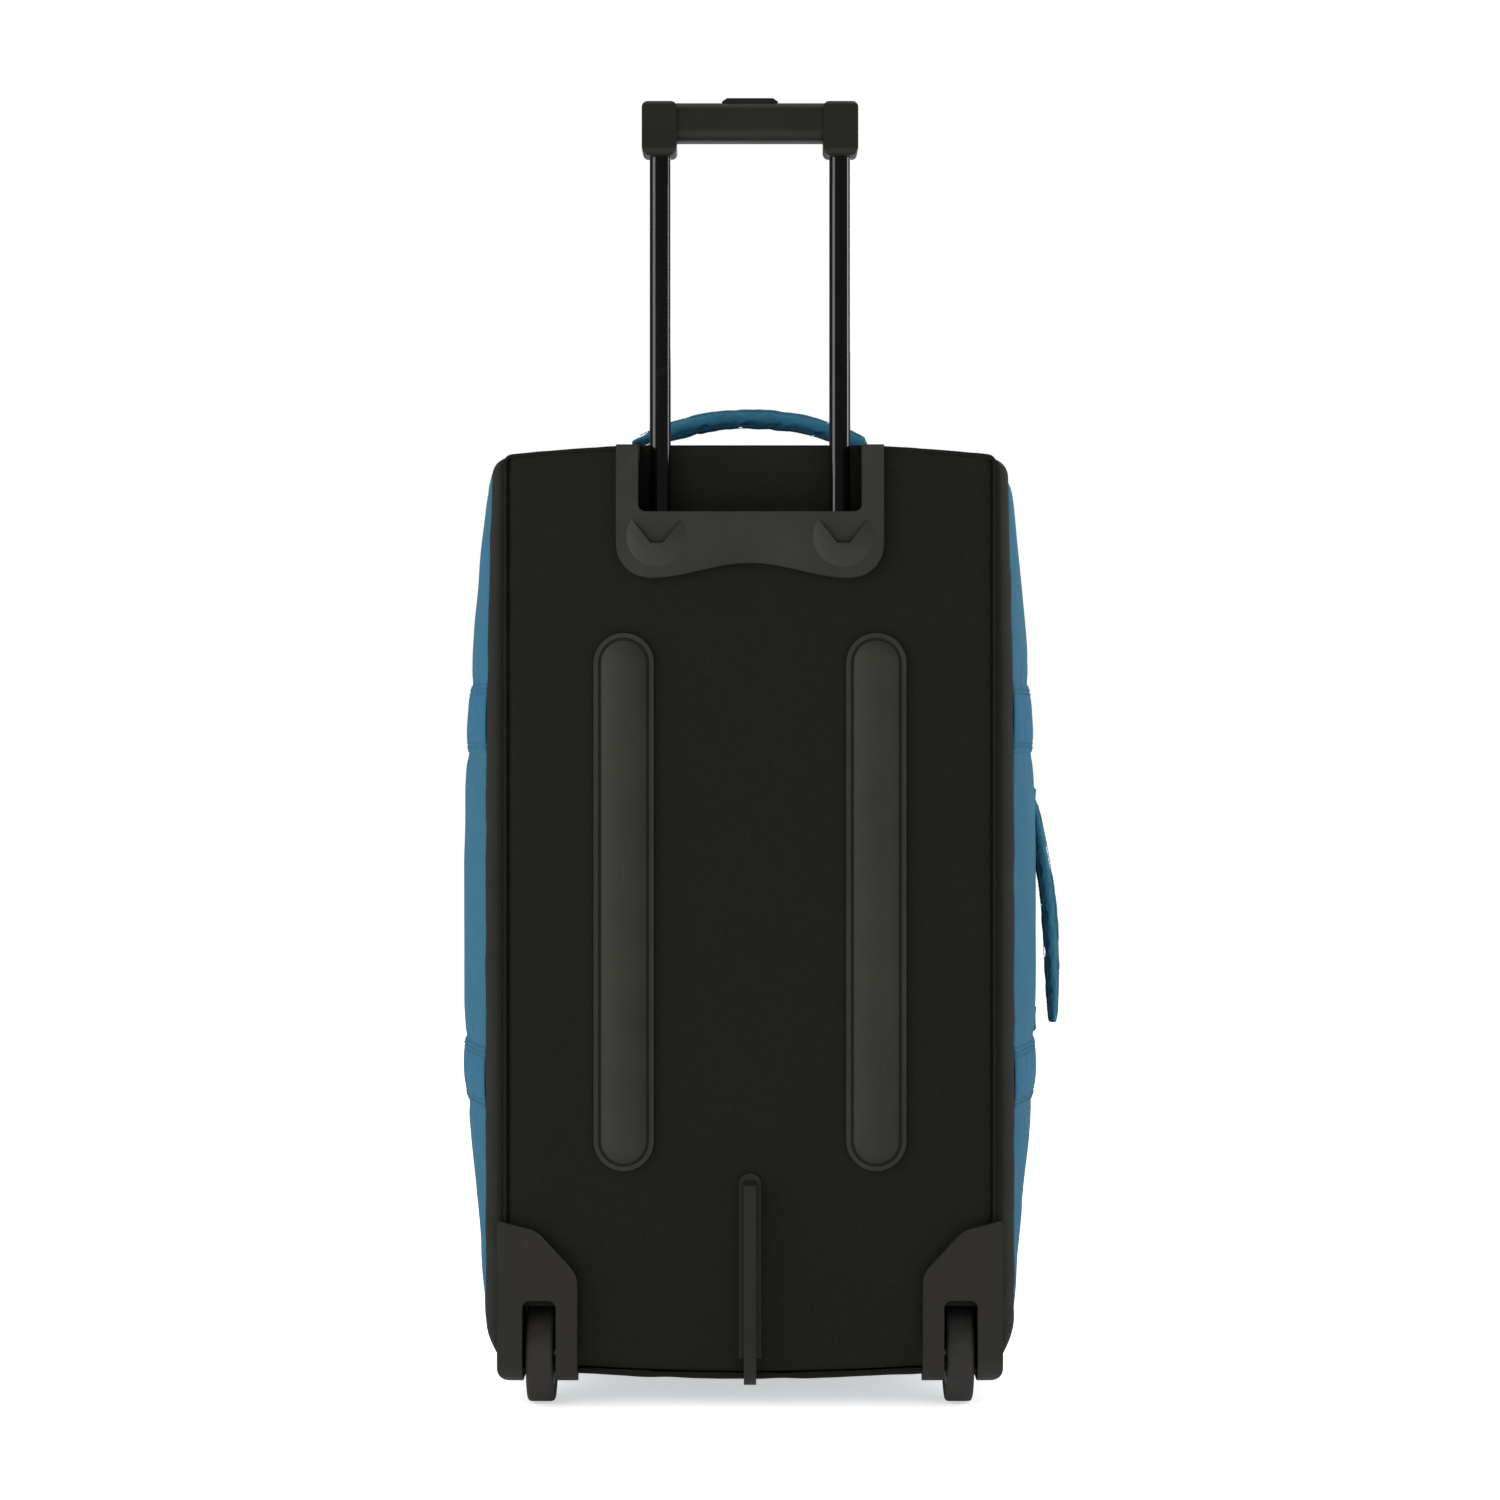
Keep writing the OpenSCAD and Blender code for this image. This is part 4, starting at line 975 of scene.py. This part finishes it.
def make_lid(material, band_material, thread, lining):
    """Padded lid whose cloth faces +Y and whose lining faces the bag; the upper band crosses it."""
    zip_z = (low("pocket_zip").z + high("pocket_zip").z) / 2
    x, z, edge = panel_grid(LID_HIGH.x - 1 * MM, LID_LOW.z + 1 * MM, LID_HIGH.z - 1 * MM,
                            LID_CORNER - 2 * MM, 6.5 * MM, UPPER_BAND + (zip_z,))
    face = high("lid_bands").y - 2 * MM
    rim = Y_FRONT + 0.6 * MM
    rise = ramp(edge, 46 * MM)
    wave = ripples(x + 0.3 * z, 0.13, 2) * ripples(z - 0.2 * x, 0.19, 6)
    pucker = ripples(x + z, 17 * MM, 3) * near(edge, 12 * MM) * ramp(edge, 3 * MM)
    band = np.minimum(np.abs(z - UPPER_BAND[0]), np.abs(z - UPPER_BAND[1]))
    y = rim + (face - rim) * (2 * rise - rise ** 2) + 0.8 * MM * wave * rise + 0.6 * MM * pucker
    y = y - 1.2 * MM * near(band, 4 * MM) * rise
    points = np.stack([x, y, z], axis=-1)[:, ::-1]
    edge, z = edge[:, ::-1], z[:, ::-1]
    pinned = (edge < 1.5 * MM) | (np.abs(z - zip_z) < 3.5 * MM)
    for level in UPPER_BAND:
        pinned |= np.abs(z - level) < 0.5 * MM
    piece = sheet("front_lid_cloth", points, material)
    inflate(piece, pinned, 2.2, slack=0.012, cap=3 * MM)
    points = get_points(piece.data).reshape(points.shape)
    thicken(piece, 2 * MM)
    piece.data.materials.append(lining)
    piece.modifiers["thickness"].material_offset = 1
    mount(piece, "lid", "front_lid")
    rows = [int(np.argmin(np.abs(z[:, 0] - level))) for level in UPPER_BAND]
    strip = refine(points[rows[0]:rows[1] + 1, 1:-1].transpose(1, 0, 2), 3)
    across = np.linspace(0, 1, strip.shape[1])
    strip = between(strip, between(strip[:, :1], strip[:, -1:], across[None, :, None]), 0.5)
    width = UPPER_BAND[1] - UPPER_BAND[0]
    share = np.minimum(across, 1 - across) * width
    rise = BAND_RISE * ramp(share, 2.5 * MM) ** 0.5 - 0.5 * MM * near(share - 7 * MM, 2.5 * MM)
    strip[..., 1] += rise[None, :] + 0.3 * MM
    places = STITCH_ROWS + tuple(width - inside for inside in STITCH_ROWS[::-1])
    lines = [stitches(column_at(strip, inside / width) + 0.25 * MM * WIDE) for inside in places]
    band_piece = thicken(sheet("lid_band_cloth", strip[:, ::-1], band_material), 1.2 * MM)
    mount(band_piece, "lid", "lid_bands")
    mount(joined("lid_band_stitches", lines, thread), "lid")


def make_pocket(material, thread):
    """Bellows pocket sewn on the lid, fullest below its middle."""
    corner = 24 * MM
    x, z, edge = panel_grid(POCKET_HIGH.x, POCKET_LOW.z, POCKET_HIGH.z, corner, 5.5 * MM)
    depth = POCKET_HIGH.y - POCKET_LOW.y
    wall = ramp(edge, 13 * MM)
    belly = ramp(edge, 70 * MM)
    full = 1 - 0.22 * ramp(z - POCKET_LOW.z, POCKET_HIGH.z - POCKET_LOW.z)
    rise = depth * full * (0.62 * wall ** 0.55 + 0.34 * (2 * belly - belly ** 2))
    wave = ripples(x + 0.2 * z, 0.09, 1) * ripples(z - 0.3 * x, 0.12, 5)
    pucker = ripples(x + z, 15 * MM, 8) * near(edge - 8 * MM, 9 * MM)
    y = POCKET_LOW.y - 0.5 * MM + rise + (0.9 * MM * wave + 0.7 * MM * pucker) * wall
    points = np.stack([x, y, z], axis=-1)[:, ::-1]
    piece = sheet("front_pocket_cloth", points, material)
    inflate(piece, edge[:, ::-1] < 1.0 * MM, 2.0, slack=0.015, cap=2.5 * MM)
    thicken(piece, 1.6 * MM)
    mount(piece, "lid", "front_pocket")
    side, inner = POCKET_HIGH.x, POCKET_HIGH.x - corner
    foot, head = POCKET_LOW.z, POCKET_HIGH.z
    turns = ((-side, foot + corner), (-side, head - corner), (-inner, head), (inner, head),
             (side, head - corner), (side, foot + corner), (inner, foot), (-inner, foot))
    border = np.array([(px, POCKET_LOW.y + 0.8 * MM, pz) for px, pz in turns + turns[:1]])
    cord = tube(resampled(border, 4 * MM), 1.7 * MM, 8, up=(0, 1, 0))
    mount(smooth_out(joined("pocket_piping", [cord], thread)), "lid")


TOOTH = 2.2 * MM


def zip_coil(path, radius=1.05 * MM):
    """One side of a coil zip: a row of rounded teeth along a path."""
    path = resampled(path, TOOTH / 5)
    beat = np.abs(np.sin(math.pi * run_along(path) / TOOTH)) ** 0.5
    return tube(path, radius * (0.45 + 0.55 * beat), 6, up=(0, 1, 0))


def zip_side(name, node, body, inner, outer, coil_gap, tape, coil):
    """Tape and coil on one side of the lid's zip, round the sides and the top of the opening."""
    y = Y_FRONT - 2.4 * MM
    x, z = opening_ring(0).T
    keep = (np.abs(x) >= LID_HIGH.x - LID_CORNER) | (z >= Z_WAIST)
    strip = np.array([turn_about(opening_ring(gap), y)[keep] for gap in np.linspace(inner, outer, 4)])
    strip[1:3, :, 1] += 0.3 * MM
    band = thicken(sheet(name + "_tape", strip[:, ::-1], tape), 0.7 * MM)
    path = turn_about(opening_ring(coil_gap), y + 0.9 * MM)[keep]
    mount(band, body, node)
    mount(joined(name + "_coil", [zip_coil(path)], coil), body)


def make_zips(tape, coil):
    """Both sides of the lid's zip, and the pocket's straight one."""
    zip_side("zip_shell", "zip_track_shell", "bag", 9 * MM, 3.4 * MM, 3.9 * MM, tape, coil)
    zip_side("zip_lid", "zip_track_lid", "lid", 2.6 * MM, -5 * MM, 2.1 * MM, tape, coil)
    zip_low, zip_high = BOXES["pocket_zip"]
    middle = (zip_low.z + zip_high.z) / 2
    x = np.linspace(zip_low.x, zip_high.x, 60)
    levels = np.array([-7, -6, -3, 0, 3, 6, 7]) * MM
    lift = np.array([-0.8, 0.2, 0.3, 0.1, 0.3, 0.2, -0.8]) * MM
    strip = np.array([[(px, zip_high.y - 0.7 * MM + dy, middle + dz) for px in x[::-1]]
                      for dz, dy in zip(levels, lift)])
    mount(thicken(sheet("pocket_zip_tape", strip, tape), 0.6 * MM), "lid", "pocket_zip")
    rows = [zip_coil([(px, zip_high.y - 0.1 * MM, middle + side) for px in x], 0.95 * MM)
            for side in (-0.8 * MM, 0.8 * MM)]
    mount(joined("pocket_zip_coil", rows, coil), "lid")


def make_lid_fold(material):
    """Strip of cloth that joins the lid's lower edge to the shell."""
    half = LID_HIGH.x - 58 * MM
    x = np.linspace(-half, half, 50)
    profile = ((-3.0, -9.5), (-1.0, -7.0), (0.9, -5.0), (1.7, -2.5), (1.9, 0.0), (1.7, 2.5), (0.9, 5.0),
               (-0.6, 7.0))
    points = np.array([[(px, Y_FRONT + dy * MM, LID_LOW.z + dz * MM) for px in x[::-1]]
                       for dy, dz in profile])
    points[..., 1] += ripples(points[..., 0], 22 * MM, 4) * 0.25 * MM
    fold = apply_all(thicken(sheet("lid_fold_cloth", points, material), 0.9 * MM))
    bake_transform(fold)


def make_lining(material):
    """Loose lining inside the shell, closed at the back and laid over the pocket cup."""
    back = low("lining").y
    deepest = Y_SEAM + 20 * MM
    hem = inset(body_ring(deepest), 14 * MM)
    middle = np.array([[0, Z_WAIST]])
    rows = [turn_about(between(middle, hem, share), back)
            for share in (0.002, 0.25, 0.5, *np.linspace(0.64, 0.94, 28))]
    for y in np.linspace(back + 2 * MM, Y_FRONT - FRONT_ROUND, 18):
        rows.append(turn_about(inset(body_ring(max(y, deepest)), 9 * MM), y))
    lip = between(inset(body_ring(Y_FRONT), 24 * MM), opening_ring(9 * MM), 0.5)
    rows.append(turn_about(lip, Y_FRONT - 7 * MM))
    rows.append(turn_about(opening_ring(8 * MM), Y_FRONT - 5.5 * MM))
    points = np.array(rows)
    by_cup = (np.abs(points[..., 0]) < CUP_SIDE + 5 * MM) & (points[..., 2] > low("pocket_cup").z - 13 * MM)
    over_cup = CUP_FRONT + 1.6 * MM + 0.05 * (points[..., 1] - back)
    points[..., 1] = np.where(by_cup, np.maximum(points[..., 1], over_cup), points[..., 1])
    lengths = cloth_lengths(points)
    lift = ripples(lengths[..., 0] + 0.3 * lengths[..., 1], 60 * MM, 3) * ripples(lengths[..., 1], 80 * MM, 1)
    lift[0] = 0
    points = points - grid_normals(points) * (np.abs(lift) * 1.6 * MM)[..., None]
    points[:, -1] = points[:, 0]
    piece = sheet("lining_cloth", points[:, ::-1], material, closed=True, capped=True)
    mount(thicken(piece, 0.6 * MM), "bag", "lining")


# ---------------------------------------------------------------- carried-over hard parts

ROUNDED = {
    1.6: ("wheel_housing_left", "wheel_housing_right"),
    1.5: ("stand_foot",),
    1.2: ("handle_bezel", "tyre_left", "tyre_right"),
    1.0: ("skid_rail_left", "skid_rail_right", "centre_skid"),
    0.9: ("grip_rear_shell", "grip_front_shell"),
    0.8: ("pocket_cup", "release_button"),
    0.5: ("main_slider_left", "main_slider_right", "pocket_slider", "zip_pull_left", "zip_pull_right",
          "pocket_pull"),
}
EDGE_RADIUS = {node: radius * MM for radius, nodes in ROUNDED.items() for node in nodes}


def finish_cad(finishes):
    """Every CAD node that stays visible gets its slot's finish and smooth shading, and those listed in
    ROUNDED get rounded edges.
    """
    for part in frame["record"]["subparts"]:
        name = part["node"]
        node = NODES[name]
        if node.hide_render:
            continue
        mesh = node.data
        mesh.materials.clear()
        mesh.materials.append(finishes[part["material_slot"]])
        mesh.polygons.foreach_set("use_smooth", [True] * len(mesh.polygons))
        mesh.set_sharp_from_angle(angle=math.radians(32))
        if name in EDGE_RADIUS:
            bevel = node.modifiers.new("rounded", "BEVEL")
            bevel.width = EDGE_RADIUS[name]
            bevel.segments = 3
            bevel.limit_method = "ANGLE"
            bevel.angle_limit = math.radians(40)
            bevel.use_clamp_overlap = True


# ---------------------------------------------------------------- build

FINISH_TABLE = {
    "woven_back": (woven, (22, 23, 17), dict(uneven=0.22, rough=0.9)),
    "gusset_fabric": (woven, (21, 21, 15), dict(uneven=0.18, rough=0.9)),
    "piping": (woven, (20, 21, 16), dict(thread=0.7 * MM)),
    "blue_fabric": (woven, (39, 96, 121), dict(uneven=0.1)),
    "blue_band": (woven, (33, 95, 124), dict(uneven=0.09)),
    "blue_handle": (woven, (44, 103, 127), dict(uneven=0.1)),
    # blue_thread is darker than the cloth: partly the thread's own colour, partly painted shade for the
    # stitch grooves
    "blue_thread": (ribbed, (34, 84, 108), dict(rib=0.9 * MM, depth=0.08 * MM)),
    "lining_fabric": (woven, (96, 98, 100), dict(thread=0.7 * MM, uneven=0.08, sheen=0.3)),
    "board": (moulded, (46, 44, 40), dict(rough=0.75)),
    "bezel_plastic": (moulded, (41, 42, 36), dict(rough=0.5)),
    "cup_plastic": (moulded, (24, 24, 17), dict(rough=0.58, scuff=0.2, specular=0.18)),
    "tube_black": (metal, (7, 7, 6), dict(rough=0.1, metallic=0.0, brushed=(60.0, 60.0, 4.0), depth=0)),
    "tube_inside": (metal, (120, 120, 118), dict(rough=0.38)),
    "bush_plastic": (moulded, (28, 28, 26), dict(rough=0.42, scuff=0.1)),
    "grip_plastic": (moulded, (28, 28, 22), dict(rough=0.48, grain=0.04 * MM, scuff=0.2)),
    "button_plastic": (moulded, (24, 25, 20), dict(rough=0.4, scuff=0.2)),
    "steel": (metal, (168, 168, 166), dict(rough=0.3)),
    "housing_plastic": (moulded, (32, 30, 25), dict(rough=0.52, scuff=0.35)),
    "tyre_rubber": (rubber, (42, 40, 37), dict(wear=0.25)),
    "hub_plastic": (moulded, (58, 58, 56), dict(rough=0.45)),
    "rail_plastic": (moulded, (46, 46, 41), dict(rough=0.6, scuff=0.25, specular=0.14)),
    "skid_plastic": (moulded, (26, 27, 21), dict(rough=0.5, scuff=0.3)),
    "foot_rubber": (rubber, (26, 26, 25), dict(wear=0.15)),
    "zip_tape": (ribbed, (22, 22, 21), dict()),
    "zip_coil": (moulded, (26, 26, 26), dict(rough=0.35, scuff=0.05)),
    "zip_metal": (metal, (40, 40, 42), dict(rough=0.32, coat=0.3)),
    "pull_rubber": (rubber, (30, 30, 30), dict(wear=0.1)),
}
FINISHES = {name: make(name, linear(*colour), **options)
            for name, (make, colour, options) in FINISH_TABLE.items()}
THREAD = FINISHES["blue_thread"]

make_back_panel(FINISHES["woven_back"])
make_piping(FINISHES["piping"])
make_gusset(FINISHES["gusset_fabric"])
SHELL = make_shell(FINISHES["blue_fabric"])
make_bands(SHELL, FINISHES["blue_band"], THREAD)
make_top_handle(FINISHES["blue_handle"], THREAD)
make_side_handle(FINISHES["blue_handle"], THREAD)
make_anchors(FINISHES["blue_band"], THREAD)
make_lid(FINISHES["blue_fabric"], FINISHES["blue_band"], THREAD, FINISHES["lining_fabric"])
make_pocket(FINISHES["blue_fabric"], THREAD)
make_zips(FINISHES["zip_tape"], FINISHES["zip_coil"])
make_lid_fold(FINISHES["blue_fabric"])
make_lining(FINISHES["lining_fabric"])
finish_cad(FINISHES)


# ---------------------------------------------------------------- floor, light and camera

FLOOR_HALF = 60.0
FLOOR_GLOW = 0.55
FLOOR_SPILL = 0.1
WORLD_LIGHT = 0.61
WORLD_MIRRORED = 0.12
WORLD_SEEN = 1.0
CAMERA_DISTANCE = 2.5
CAMERA_HEIGHT = 0.5275


def make_stage():
    """Plain pale floor, wide enough to reach the horizon, brighter to the camera than to the bag."""
    f = Finish("studio_paper", 0.9, 0.1)
    cloud = f.spread(f.noise(f.place(), 1.5), 0.3, 0.7, 0, 1)
    paper = f.done(f.mixed(cloud, (0.90, 0.90, 0.90, 1), (0.93, 0.93, 0.93, 1)))
    f.shader.inputs["Emission Color"].default_value = (1, 1, 1, 1)
    seen = f.node("LightPath", "Is Camera Ray")
    f.put(f.shader.inputs["Emission Strength"], f.spread(seen, 0, 1, FLOOR_SPILL, FLOOR_GLOW))
    steps = np.linspace(-FLOOR_HALF, FLOOR_HALF, 9)
    points = np.array([[(x, y, -0.5 * MM) for x in steps] for y in steps])
    sheet("studio_floor", points, paper)


def area_light(name, place, target, size, power, mirrored=True):
    light = bpy.data.lights.new(name, "AREA")
    light.shape = "RECTANGLE"
    light.size, light.size_y = size
    light.energy = power
    lamp = bpy.data.objects.new(name, light)
    lamp.location = place
    lamp.rotation_euler = (Vector(target) - Vector(place)).to_track_quat("-Z", "Y").to_euler()
    lamp.visible_glossy = mirrored
    bpy.context.scene.collection.objects.link(lamp)


def make_lights():
    """Broad soft lights before the back, and a tall one on either side that the tubes mirror."""
    middle = (0, 0, 0.5)
    area_light("key", (-1.6, -2.8, 2.0), middle, (1.3, 1.6), 24, mirrored=False)
    area_light("fill", (2.0, -2.6, 1.3), middle, (1.4, 1.8), 12, mirrored=False)
    area_light("left_strip", (-2.2, -0.9, 0.9), middle, (1.3, 2.2), 30)
    area_light("right_strip", (2.4, 0.15, 0.9), middle, (0.8, 2.2), 28)
    area_light("front", (0.8, 2.8, 2.0), middle, (2.0, 1.6), 26)
    area_light("top", (0, 0.2, 3.4), middle, (2.4, 2.4), 22)
    world = bpy.data.worlds.new("studio")
    world.use_nodes = True
    tree = world.node_tree
    path = tree.nodes.new("ShaderNodeLightPath").outputs
    mirrored, seen = (tree.nodes.new("ShaderNodeMix") for _ in range(2))
    mirrored.inputs["A"].default_value, mirrored.inputs["B"].default_value = WORLD_LIGHT, WORLD_MIRRORED
    seen.inputs["B"].default_value = WORLD_SEEN
    tree.links.new(path["Is Glossy Ray"], mirrored.inputs["Factor"])
    tree.links.new(mirrored.outputs["Result"], seen.inputs["A"])
    tree.links.new(path["Is Camera Ray"], seen.inputs["Factor"])
    tree.nodes["Background"].inputs["Color"].default_value = (1, 1, 1, 1)
    tree.links.new(seen.outputs["Result"], tree.nodes["Background"].inputs["Strength"])
    bpy.context.scene.world = world
    bpy.context.scene.view_settings.view_transform = "Standard"


def make_camera():
    """Straight view of the back, at half the height of the whole object."""
    camera = bpy.data.cameras.new("camera")
    camera.lens, camera.sensor_width = 75, 36
    holder = bpy.data.objects.new("camera", camera)
    holder.location = (0, Y_BACK - CAMERA_DISTANCE, CAMERA_HEIGHT)
    holder.rotation_euler = (math.pi / 2, 0, 0)
    bpy.context.scene.collection.objects.link(holder)
    bpy.context.scene.camera = holder


make_stage()
make_lights()
make_camera()
